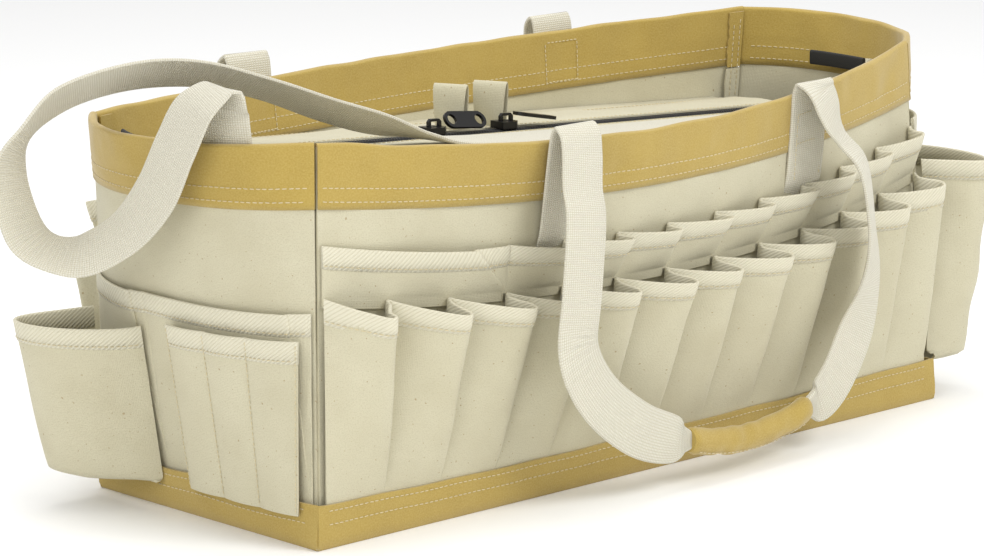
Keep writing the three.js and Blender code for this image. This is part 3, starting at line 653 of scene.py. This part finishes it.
def tape_arch(top):
    """The rounded fold at the top of an edge tape, as (height, off) pairs."""
    half = BINDING / 2
    return [(top - half + half * math.sin(t), half * math.cos(t)) for t in np.linspace(0, math.pi, 7)]


class PocketRow:
    """One strip of pleated pockets: where its canvas runs at any height."""

    def __init__(self, side, seams, depths, seat, foot, top, tips, rise):
        self.side, self.seams, self.depths = side, np.array(seams), np.array(depths)
        self.seat, self.foot, self.top = seat, foot, top
        self.tips, self.rise = np.array(tips), rise

    def level(self, z, w=0.0):
        """The strip's run at height z, as (n, 3) points w millimetres off its middle."""
        opened = max((z - self.foot) / (self.top - self.foot), 0)
        depth = self.depths * opened**0.8
        outline = spline(pleat_outline(self.seams, depth, self.tips * opened), PLEAT_STEPS)
        moved = beside(outline, w)
        share = min(z / LOWER_TOP, 1)
        shift = self.rise(outline[:, 0] / LENGTH[self.side]) - MOUTH_DROOP * outline[:, 1]
        height = z + shift * share**2
        return wall_point(self.side, moved[:, 0], height, self.seat + moved[:, 1])

    def strip(self, name, replaces, low=POCKET_FOOT, seed=0):
        levels = np.linspace(low, self.top - STRIP_INSET, 26)
        middle = np.stack([self.level(z) for z in levels], axis=1)
        s = np.arange(len(middle))[:, None] * 3.0
        open_share = np.clip((levels - self.foot) / 40, 0, 1)[None, :]
        z = levels[None, :]
        crease = 0.35 * ripple(s, z, 60, seed) + 0.15 * ripple(s, z, 22, seed + 1)
        middle = middle + grid_normals(middle) * (crease * open_share)[..., None]
        shell(name, middle, POCKET_CANVAS, CREAM, replaces=replaces)

    def binding(self, name, replaces):
        """Twill tape folded over the strip's top edge, and its row of stitches."""
        low, high = self.top - BINDING_HEIGHT, self.top
        half = BINDING / 2
        section = [(low, half - 0.15), (mix(low, high, 0.5), half + 0.1)] + tape_arch(high)
        section += [(mix(low, high, 0.5), -half - 0.1), (low, -half + 0.15)]
        rings = np.stack([self.level(z, w) for z, w in section], axis=1)
        loft(name, rings, TWILL, replaces=replaces)
        lines = []
        for w in (half + 0.28, -half - 0.28):
            line = self.level(low + TAPE_STITCH, w)
            lines.append((line, self.level(low + TAPE_STITCH, w * 2) - line))
        stitches(name + "_stitches", lines, pitch=4.0, radius=FINE_THREAD)


LOWER_TIPS = [-9, 1, 7, 5, 3, 6, 4, 8, 7, 4, 3, 5]
LOWER_SWELL = [1.0, 1.0, 0.95, 1.0, 0.9, 1.0, 0.95, 1.0, 1.0, 0.95, 0.95, 0.9]
UPPER_TIPS = [-30, 3, 5, 2, 6, 3, 5, 2, 4, 0]


def long_rise(u):
    return 9 * (1 - u) ** 5 + 14 * u**4


for side in ("front", "back"):
    seams = np.linspace(STRIP_END, LENGTH[side] - STRIP_END, POCKETS_PER_SIDE + 1)
    depths = LOWER_DEPTH * np.array(LOWER_SWELL)
    lower = PocketRow(side, seams, depths, LOWER_OFF, PLEAT_FOOT, LOWER_TOP, LOWER_TIPS, long_rise)
    lower.strip(side + "_lower_pocket_strip", [side + "_lower_pockets"], seed=len(side))
    lower.binding(side + "_lower_tape", [side + "_lower_binding"])
    wide = np.concatenate([seams[:1], seams[WIDE_POCKET_SHARE:]])
    depths = [UPPER_DEPTH / 2] + [UPPER_DEPTH] * (len(wide) - 2)
    upper = PocketRow(side, wide, depths, UPPER_OFF, LOWER_TOP + 1, UPPER_TOP, UPPER_TIPS, long_rise)
    upper.strip(side + "_upper_pocket_strip", [side + "_upper_pockets"], low=UPPER_FOOT, seed=9 + len(side))
    upper.binding(side + "_upper_tape", [side + "_upper_binding"])


# ---- end pockets ---------------------------------------------------------------------------------
def flat_rise(u):
    return 0 * u


LEFT_SEAM = 74
END_PANEL_OFF = UPPER_OFF + 0.5
for side, middle, depth, top in (("left", LEFT_SEAM, 3, 155), ("right", LENGTH["right"] / 2, 14, 208)):
    seams = [STRIP_END, middle, LENGTH[side] - STRIP_END]
    panel = PocketRow(side, seams, [depth, depth], END_PANEL_OFF, PLEAT_FOOT, top, [-12, -12], flat_rise)
    panel.strip(side + "_end_pocket_panel", [side + "_panel_pockets"], seed=20)
    panel.binding(side + "_end_panel_tape", [side + "_panel_binding"])


class Gusset:
    """A deep end pocket whose mouth stands furthest out near the corner."""

    OUTLINE = [
        (0, -0.14),
        (0.01, 0.3),
        (0.02, 0.7),
        (0.06, 0.93),
        (0.15, 1.0),
        (0.34, 0.90),
        (0.6, 0.60),
        (0.84, 0.20),
        (0.95, -0.02),
        (1, -0.15),
    ]
    # The closed bottom: the share of the depth that each row stands out, and how far it hangs down.
    BOTTOM = ((0.1, 3), (0.5, 3), (0.85, 2.2))
    FOOT = 18
    SEAT = LOWER_OFF + 10

    def __init__(self, side, width, depth, top):
        self.side, self.width, self.depth, self.top = side, width, depth, top

    def level(self, z, w=0.0, share=1.0):
        opened = share * mix(0.8, 1, min((z - self.FOOT) / (self.top - self.FOOT), 1) ** 0.7)
        control = [(STRIP_END + s * self.width, off * self.depth * opened) for s, off in self.OUTLINE]
        outline = spline(control, 7)
        moved = beside(outline, w)
        u = np.linspace(0, 1, len(outline))
        sag = 3.0 * np.sin(np.pi * u) * (z / self.top) ** 3
        lift = 16.0 * np.clip(1 - u / 0.6, 0, 1) * (1 - z / self.top) ** 2
        return wall_point(self.side, moved[:, 0], z - sag + lift, self.SEAT + moved[:, 1])

    def build(self):
        side = self.side
        low = self.FOOT + 6
        bottom = [self.level(low - drop, share=share) for share, drop in self.BOTTOM]
        levels = np.linspace(low, self.top - STRIP_INSET, 22)
        middle = np.stack(bottom + [self.level(z) for z in levels], axis=1)
        levels = np.concatenate([[low - drop for _, drop in self.BOTTOM], levels])
        run = np.arange(len(middle))[:, None] * 2.0
        crease = 0.9 * ripple(run, levels[None, :], 50, 71 + len(side))
        middle = middle + grid_normals(middle) * crease[..., None]
        shell(side + "_gusset_canvas", middle, POCKET_CANVAS, CREAM, replaces=[side + "_gusset_pocket"])
        half = BINDING / 2
        low, high = self.top - BINDING_HEIGHT, self.top
        section = [(low, half)] + tape_arch(high) + [(low, -half)]
        rings = np.stack([self.level(z, w) for z, w in section], axis=1)
        loft(side + "_gusset_tape", rings, TWILL, replaces=[side + "_gusset_binding"])
        line = self.level(low + TAPE_STITCH, half + 0.3)
        out = self.level(low + TAPE_STITCH, half + 2) - line
        stitches(side + "_gusset_stitches", [(line, out)], pitch=4.0, radius=FINE_THREAD)


Gusset("left", 67, 50, 131).build()
Gusset("right", 76, 46, 178).build()


SLOT_OFF = LOWER_OFF + 4.4
SLOT_TOP = 138
SLOT_FOOT = 22
SLOTS_ON_PATCH = 3
SLOT_PUFF = 2.2


def slot_patch():
    """Three narrow tool slots sewn on the left end's front half."""
    a, b = LEFT_SEAM + 27, LENGTH["left"] - 8
    top, low = SLOT_TOP, SLOT_FOOT
    u = np.linspace(0, 1, 46)
    puff = 1.0 + SLOT_PUFF * np.abs(np.sin(SLOTS_ON_PATCH * math.pi * u)) ** 0.7
    s = mix(a, b, u)

    def level(z, w=0.0):
        return wall_point("left", s, z, SLOT_OFF + puff + w)

    levels = np.linspace(low, top - STRIP_INSET, 16)
    shell(
        "left_slot_canvas",
        np.stack([level(z) for z in levels], axis=1),
        POCKET_CANVAS,
        CREAM,
        replaces=["left_slot_patch"],
    )
    half = BINDING / 2
    section = [(top - BINDING_HEIGHT, half)] + tape_arch(top) + [(top - BINDING_HEIGHT, -half)]
    rings = np.stack([level(z, w) for z, w in section], axis=1)
    loft("left_slot_tape", rings, TWILL, replaces=["left_slot_binding"])
    lines = []
    for share in (0.01, 1 / 3, 2 / 3, 0.99):
        z = np.linspace(low + 2, top - 2, 40)
        off = SLOT_OFF + 2.2 + SLOT_PUFF * abs(math.sin(SLOTS_ON_PATCH * math.pi * share)) ** 0.7
        lines.append(wall_line("left", mix(a, b, share), z, off + 0.2))
    row = top - BINDING_HEIGHT + 2
    lines.append((level(row, half + 0.3), level(row, half + 2) - level(row)))
    stitches("left_slot_stitches", lines, pitch=3.6, radius=FINE_THREAD)


slot_patch()


# ---- lid -----------------------------------------------------------------------------------------
LID_Z = LID_HEIGHT
TAPE_EDGE = CHAIN_HALF_WIDTH + TAPE_WIDTH
LID_PLY = 1.5


def lid_slope(y):
    return LID_Z + ZIP_RISE * (1 - (np.abs(y) / LID_HINGE) ** 2)


def lid(side, facing):
    wall_s = np.linspace(22, LENGTH[side] - 22, 60)[:, None]
    v = np.linspace(0, 1, 9)[None, :]
    fall = LID_TILT * plan_point(side, wall_s, LID_HEIGHT)[0]
    edge_height = np.minimum(LID_HEIGHT - 5 + fall, HEIGHT - RIM_BAND_HEIGHT - 3.5)
    edge = wall_point(side, wall_s, edge_height, -RIM_IN - 0.6)
    hem_y = mix(edge[..., 1], facing * (LID_HINGE - 1), v)
    hem_z = mix(edge[..., 2], LID_Z + LID_TILT * edge[..., 0], v)
    wave = 0.8 * ripple(wall_s, 30 * v, 60, 41 + facing)
    hem = np.stack([edge[..., 0] + 0 * v, hem_y, hem_z + wave], axis=-1)
    shell(side + "_lid_gusset", hem, LID_PLY, CREAM, replaces=[side + "_lid_hem"])

    x = np.linspace(-LID_HALF_LENGTH, LID_HALF_LENGTH, 80)[:, None]
    y = np.linspace(TAPE_EDGE - 8, LID_HINGE, 16)[None, :]
    soft = np.sin(np.pi * (y - TAPE_EDGE) / (LID_HINGE - TAPE_EDGE)).clip(0)
    lift = (1.6 * ripple(x, y, 110, 43 + facing) + 0.5 * ripple(x, y, 35, 45 + facing)) * soft
    flap = np.stack([x + 0 * y, facing * y + 0 * x, lid_slope(y) + LID_TILT * x + lift + 0.6], axis=-1)
    body = side + "_flap"
    shell(side + "_lid_canvas", flap, LID_PLY, CREAM, body=body, replaces=[side + "_lid_flap"])
    lines = []
    along = x[:, 0]
    for reach in (TAPE_EDGE - 5.5, LID_HINGE - 6):
        height = lid_slope(reach) + LID_TILT * along + 1.6
        line = np.stack([along, 0 * along + facing * reach, height], axis=-1)
        lines.append((line, np.tile([0.0, 0.0, 1.0], (len(line), 1))))
    stitches(side + "_lid_stitches", lines, body)

    y = np.linspace(CHAIN_HALF_WIDTH - 2, TAPE_EDGE - 3, 5)[None, :]
    half_zip = LID_HALF_LENGTH - 6
    x = np.linspace(-half_zip, half_zip, 40)[:, None]
    tape = np.stack([x + 0 * y, facing * y + 0 * x, lid_slope(y) - 0.3 + LID_TILT * x], axis=-1)
    shell(side + "_zip_tape", tape, 0.8, BLACK_TAPE, body=body, replaces=[side + "_zip_half"])
    teeth(side + "_zip_teeth", facing, half_zip - 4, body)


TOOTH_PITCH = 2.6


def teeth(name, facing, reach, body):
    """One half of the chain: a row of rounded teeth, and the cord they are sewn over."""
    section = rounded(3.0, 1.5, 0.5, 1)
    vertices, faces, uvs = [], [], []
    z = LID_Z + ZIP_RISE
    k = len(section)
    for x in np.arange(-reach, reach, TOOTH_PITCH):
        shift = x + (TOOTH_PITCH / 2 if facing > 0 else 0)
        first = len(vertices)
        for y in (0.2, 3.9):
            vertices += [(shift + b, facing * y, z + a + LID_TILT * shift) for a, b in section]
        for j in range(k):
            faces.append([first + j, first + (j + 1) % k, first + k + (j + 1) % k, first + k + j])
        faces.append([first + j for j in reversed(range(k))])
        faces.append([first + k + j for j in range(k)])
        uvs.extend([(0.001 * j, 0.002) for j in range(6 * k)])
    if facing < 0:
        faces = [f[::-1] for f in faces]
    make(name, vertices, faces, uvs, ENAMEL, body)
    ring = rounded(2.4, 2.6, 1.2, 3)
    ends = np.linspace(-reach, reach, 12)
    rings = [[(x, facing * (4.4 + a / 2), z + LID_TILT * x + 0.2 + b * 0.45) for a, b in ring] for x in ends]
    loft(name + "_cord", np.array(rings), BLACK_TAPE, body=body)


lid("front", -1)
lid("back", 1)


def lid_end(side, low_y, high_y, height, facing):
    """The lid's short edge: a strip of canvas from the end wall with a black bound edge."""
    s = LENGTH[side] / 2 + facing * np.linspace(low_y, high_y, 20)[:, None]
    seat = wall_point(side, s, height, -RIM_IN - BAND_PLY - 1.2)
    wall_x, y = seat[..., 0], seat[..., 1]
    v = np.linspace(0, 1, 6)[None, :]
    rise = 2.0 * np.sin(np.pi * v) + 0.8 * ripple(y, 20 * v, 40, 61 + facing)
    strip = np.stack([wall_x - facing * 14.5 * v, y + 0 * v, height + rise], axis=-1)
    shell(side + "_lid_end_canvas", strip, 1.6, CREAM, replaces=[side + "_lid_end"])
    section = rounded(3.4, 11, 1.6, 3)
    edge_x = wall_x[:, 0] - facing * 16.2
    rings = [[(x + a, at, height + b) for a, b in section] for x, at in zip(edge_x, y[:, 0])]
    loft(side + "_lid_end_tape", np.array(rings), BLACK_TAPE, replaces=[side + "_lid_end_binding"])


lid_end("left", -24, 77, 247, -1)
lid_end("right", -31, 37, 240, 1)


# ---- sliders and their pulls ---------------------------------------------------------------------
def bevelled(node, width):
    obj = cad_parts[node]
    obj.data.materials.clear()
    obj.data.materials.append(ENAMEL)
    modifier = obj.modifiers.new("edges", "BEVEL")
    modifier.width = width
    modifier.segments = 3
    modifier.limit_method = "ANGLE"


LOOP_BACK = 21.5
LOOP_TURN = math.radians(-65)
LOOP_WIDTH = 25
LOOP_HEIGHT = 30.0
LOOP_SPREAD = 4.2  # half the distance between its two legs at the foot


def pull_loop(name, x):
    """A folded canvas tape standing behind a slider."""
    section = rounded(LOOP_WIDTH, 1.5, 0.6, 2)
    across = np.array([math.cos(LOOP_TURN), math.sin(LOOP_TURN), 0])
    back = np.array([-across[1], across[0], 0])
    foot = np.array([x, LOOP_BACK, LID_Z + ZIP_RISE + LID_TILT * x + 1.5])
    rings = []
    for t in np.linspace(0, math.pi, 25):
        place = foot + back * LOOP_SPREAD * math.cos(t) + np.array([0, 0, LOOP_HEIGHT * math.sin(t) ** 0.55])
        out = back * math.cos(t) + np.array([0, 0, math.sin(t) ** 3 + 0.02])
        out /= np.linalg.norm(out)
        narrow = mix(0.8, 1.0, math.sin(t) ** 0.5)
        rings.append([place + across * a * narrow + out * b for a, b in section])
    loft(name + "_pull_tape", np.array(rings), CREAM, body=name + "_slider", replaces=[name + "_pull_loop"])


for name, x in (("left", -62), ("right", -24)):
    bevelled(name + "_slider", 0.0007)
    bevelled(name + "_pull_tab", 0.0005)
    pull_loop(name, x)


# ---- webbing -------------------------------------------------------------------------------------
def web_rings(stations, spans):
    """Cross-sections of a flat web.

    A station is its centre, the direction across it and, where it isn't flat, its width and thickness.
    """
    centres = spline([k[0] for k in stations], spans)
    across = spline([np.array(k[1], float) / np.linalg.norm(k[1]) for k in stations], spans)
    size = spline([k[2:] or (WEB_WIDTH, WEB) for k in stations], spans)
    along = np.gradient(centres, axis=0)
    along /= np.linalg.norm(along, axis=1, keepdims=True)
    across -= along * np.sum(across * along, axis=1, keepdims=True)
    across /= np.linalg.norm(across, axis=1, keepdims=True)
    face = np.cross(along, across)
    rings = []
    for c, a, f, (w, t) in zip(centres, across, face, size):
        rings.append([c + a * p + f * q for p, q in rounded(w, t, t * 0.48, 3)])
    return np.array(rings)


HANG = 33
PIVOT_OUT = 11
HANDLE_BOW = 0.4
PIVOT_RISE = {"front": 1.5, "back": 6}
FULL_BOW = 12  # at this bow a leg is twisted and lifted in full
LEG_TWIST = 0.65
LEG_LIFT = 8
GRIP_HALF = 63
GRIP_Z = 24
GRIP_RISE = 9
GRIP_CORE = (11, 6)  # width and thickness of the web folded up inside the grip
ANCHOR_OFF = CANVAS / 2 + LAYER_GAP + BAND_PLY + LAYER_GAP + WEB / 2
ANCHOR_FOOT = 187.0


def handle(side, anchors, shift):
    tops = [wall_point(side, s, HEIGHT, 0.0) for s in anchors]
    middle = (tops[0] + tops[1]) / 2
    pivot = middle[2] + PIVOT_RISE[side]
    run = (tops[1] - tops[0])[:2]
    half = np.linalg.norm(run) / 2
    run = run / (2 * half)
    out = np.array([run[1], -run[0]])

    def at(along, outward, z):
        x, y = (middle[k] + run[k] * along + out[k] * outward for k in (0, 1))
        return np.array([x, y, z])

    def leg(sign, s):
        grip_end = GRIP_HALF + sign * shift
        bow = max(sign * shift, 0) * HANDLE_BOW
        turned = LEG_TWIST * bow / FULL_BOW
        lifted = LEG_LIFT * bow / FULL_BOW

        def knee(share):
            return mix(grip_end + 16, half + 20 + bow, share)

        rows = [
            (wall_point(side, s, ANCHOR_FOOT, 1.7), (1, 0), WEB_WIDTH, 0.9),
            (wall_point(side, s, ANCHOR_FOOT + 17, ANCHOR_OFF - LAYER_GAP), (1, 0)),
            (wall_point(side, s, ANCHOR_FOOT + 53, ANCHOR_OFF + 0.2), (1, 0)),
            (at(sign * half, ANCHOR_OFF + 0.6, pivot - 3), (1, 0)),
            (at(sign * half, ANCHOR_OFF + 3, pivot + 5), (1, 0)),
            (at(sign * half, PIVOT_OUT, pivot + 6.5), (1, 0)),
            (at(sign * (half + 1), PIVOT_OUT + 5.5, pivot + 0.5), (1, 0, -turned / 3)),
            (at(sign * (half + 3 + 0.2 * bow), PIVOT_OUT + 9, pivot - 13), (1, -0.05, -turned / 2)),
            (at(sign * (half + 7 + 0.5 * bow), PIVOT_OUT + 13, pivot - 32), (1, -0.1, -turned)),
            (at(sign * (half + 11 + 0.8 * bow), HANG - 2 + lifted, 198), (1, -0.1, -turned)),
            (at(sign * (half + 17 + bow), HANG + lifted, 150), (1, 0, -turned)),
            (at(sign * (half + 20 + bow), HANG + lifted / 2, 112), (1, 0.1, -turned / 2)),
            (at(sign * knee(0.78), HANG, 78), (0.8, 0.6)),
            (at(sign * knee(0.38), HANG, 50), (0.5, 0.85)),
            (at(sign * (grip_end + 16), HANG, GRIP_Z + GRIP_RISE + 3), (0.2, 1), 33, 3),
            (at(sign * (grip_end + 4), HANG, GRIP_Z + GRIP_RISE + 0.6), (0, 1), 17, 5),
            (at(sign * (grip_end - 12), HANG, GRIP_Z + GRIP_RISE - 2), (0, 1), *GRIP_CORE),
        ]
        edges = [np.array([*(run * k[1][0] * sign + out * sum(k[1][2:])), -k[1][1]]) for k in rows]
        return [(k[0], edge, *k[2:]) for k, edge in zip(rows, edges)]

    first, second = leg(-1, anchors[0]), leg(1, anchors[1])
    centre = (at(shift, HANG, GRIP_Z), (0, 0, -1), *GRIP_CORE)
    rings = web_rings(first + [centre] + second[::-1], 6)
    web = loft(
        side + "_handle_webbing",
        rings,
        WEBBING,
        body=None,
        replaces=[side + "_handle_web", side + "_left_handle_anchor", side + "_right_handle_anchor"],
    )
    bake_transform(web)

    turn = np.linspace(0, 2 * math.pi, 20, endpoint=False)
    along = np.linspace(-GRIP_HALF, GRIP_HALF, 60)
    rings = []
    for t in along:
        wrinkle = 0.35 * ripple(t + 0 * turn, 6 * turn, 14, 81) + 0.3 * ripple(t + 0 * turn, 6 * turn, 40, 82)
        close = 1.0 - 0.16 * np.clip((abs(t) - GRIP_HALF + 3) / 3, 0, 1)
        across = (7.6 + wrinkle) * np.cos(turn) * close
        down = (9.6 + wrinkle) * np.sin(turn) * close
        z = GRIP_Z + GRIP_RISE * (t / GRIP_HALF) ** 2
        rings.append([at(t + shift, HANG + a, z + b) for a, b in zip(across, down)])
    grip = side + "_handle"
    loft(side + "_handle_sleeve", np.array(rings), TAN, body=grip, replaces=[side + "_handle_grip"])
    heights = [GRIP_Z + GRIP_RISE * (t / GRIP_HALF) ** 2 - 7.3 for t in along[2:-2]]
    line = np.array([at(t + shift, HANG + 5.6, z) for t, z in zip(along[2:-2], heights)])
    down = np.tile([out[0], out[1], -1.0], (len(line), 1))
    stitches(side + "_grip_stitches", [(line, down)], grip)

    lines = []
    outer, inner = ANCHOR_OFF + WEB / 2 + 0.5, -(RIM_IN + BAND_PLY + 1.1)
    for s in anchors:
        for shift_s in (-WEB_WIDTH / 2 + 4, WEB_WIDTH / 2 - 4):
            z = np.linspace(200, 252, 20)
            lines.append(wall_line(side, s + shift_s, z, outer))
        for z in (228, 250):
            along = np.linspace(s - WEB_WIDTH / 2 + 4, s + WEB_WIDTH / 2 - 4, 8)
            lines.append(wall_line(side, along, z, outer))
        for shift_s in (-14, 14):
            z = np.linspace(226, 258, 14)
            lines.append(wall_line(side, s + shift_s, z, inner))
        for z in (228, 257):
            along = np.linspace(s - 14, s + 14, 8)
            lines.append(wall_line(side, along, z, inner))
    stitches(side + "_anchor_stitches", lines, pitch=3.4)


handle("front", (HALF_LENGTH - 107, HALF_LENGTH + 145), 30)
handle("back", (HALF_LENGTH - 140, HALF_LENGTH + 140), 0)


# ---- shoulder strap ------------------------------------------------------------------------------
STRAP_S = LENGTH["left"] / 2 + 56
STRAP_OFF = -(CANVAS / 2 + 2 * LAYER_GAP + BAND_PLY + WEB / 2)


def strap():
    edge = wall_point("left", STRAP_S + 1, HEIGHT, STRAP_OFF) - wall_point("left", STRAP_S, HEIGHT, STRAP_OFF)
    heights = (206.0, 225.0, 245.0, 262.0, 275.0, 286.0)
    sewn = [(wall_point("left", STRAP_S, z, STRAP_OFF), edge) for z in heights]
    loop = [
        ((-335, -58, 297), (0, -1, 0)),
        ((-350, -50, 285), (0, -1, -0.1)),
        ((-356, -38, 260), (0, -1, -0.2)),
        ((-360, -21, 227), (0, -0.95, -0.32)),
        ((-369, 3, 199), (-0.2, -0.9, -0.42)),
        ((-386, 30, 184), (-0.38, -0.8, -0.47)),
        ((-404, 54, 195), (-0.93, -0.27, -0.25)),
        ((-408, 66, 236), (-0.92, -0.36, 0.15)),
    ]
    back = [
        ((-396, 64, 262), (-0.8, -0.58, 0.08)),
        ((-370, 58, 282), (-0.77, -0.5, 0.4)),
        ((-330, 38, 294), (-0.57, -0.6, 0.55)),
        ((-288, 20, 293), (-0.55, -0.62, 0.55)),
        ((-248, 0, 281), (-0.43, -0.76, 0.49)),
        ((-210, -17, 265), (-0.3, -0.82, 0.48)),
        ((-180, -31, 254), (-0.14, -0.88, 0.4)),
        ((-150, -41, 244), (0, -1, 0.1)),
    ]
    # Along the lid, the last number being the height over the hinge lines.
    lay = [
        (-112, -47, 10),
        (0, -50, 8.5),
        (120, -48, 8.5),
        (220, -48, 8.5),
        (258, -50, 10),
        (280, -52, 20),
        (292, -53, 34),
    ]
    back += [((x, y, LID_Z + LID_TILT * x + rise), (0, -1, 0)) for x, y, rise in lay]
    stations = sewn + loop + back
    spans = 8
    rings = web_rings(stations, spans)
    cut = (len(sewn) + len(loop) - 1) * spans
    outer = loft(
        "shoulder_strap_outer",
        rings[: cut + 1],
        WEBBING,
        body=None,
        replaces=["shoulder_strap_anchor", "shoulder_strap_loop"],
    )
    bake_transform(outer)
    inner = loft("shoulder_strap_inner", rings[cut:], WEBBING, body=None, replaces=["shoulder_strap_lay"])
    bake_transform(inner)


strap()


# ---- floor, light and camera ---------------------------------------------------------------------
def floor():
    bpy.ops.mesh.primitive_plane_add(size=12, location=(0, 0, 0))
    plane = bpy.context.object
    plane.name = "floor"
    paint = bpy.data.materials.new("floor_paint")
    paint.use_nodes = True
    shader = paint.node_tree.nodes["Principled BSDF"]
    shader.inputs["Base Color"].default_value = (0.97, 0.97, 0.965, 1)
    shader.inputs["Roughness"].default_value = 0.9
    plane.data.materials.append(paint)


def area_light(name, place, target, size, power):
    data = bpy.data.lights.new(name, "AREA")
    data.shape = "DISK"
    data.size = size
    data.energy = power
    light = bpy.data.objects.new(name, data)
    bpy.context.scene.collection.objects.link(light)
    light.location = place
    light.rotation_euler = (Vector(target) - Vector(place)).to_track_quat("-Z", "Y").to_euler()


def studio():
    world = bpy.data.worlds.new("studio")
    world.use_nodes = True
    background = world.node_tree.nodes["Background"]
    background.inputs["Color"].default_value = (1, 1, 1, 1)
    background.inputs["Strength"].default_value = 0.75
    bpy.context.scene.world = world
    area_light("key", (0.6, -2.2, 2.2), (0, 0, 0.12), 1.4, 36)
    area_light("fill", (-2.4, -1.0, 1.2), (-0.1, 0, 0.12), 1.6, 18)
    area_light("top", (0, 0.4, 2.4), (0, 0, 0.2), 1.6, 22)


def camera():
    data = bpy.data.cameras.new("photo_camera")
    data.sensor_width = 36
    data.lens = LENS
    data.clip_end = 50
    obj = bpy.data.objects.new("photo_camera", data)
    bpy.context.scene.collection.objects.link(obj)
    obj.location = CAMERA_AT
    obj.rotation_euler = (Vector(CAMERA_TARGET) - Vector(CAMERA_AT)).to_track_quat("-Z", "Y").to_euler()
    bpy.context.scene.camera = obj


floor()
studio()
camera()
bpy.context.scene.view_settings.view_transform = "Standard"
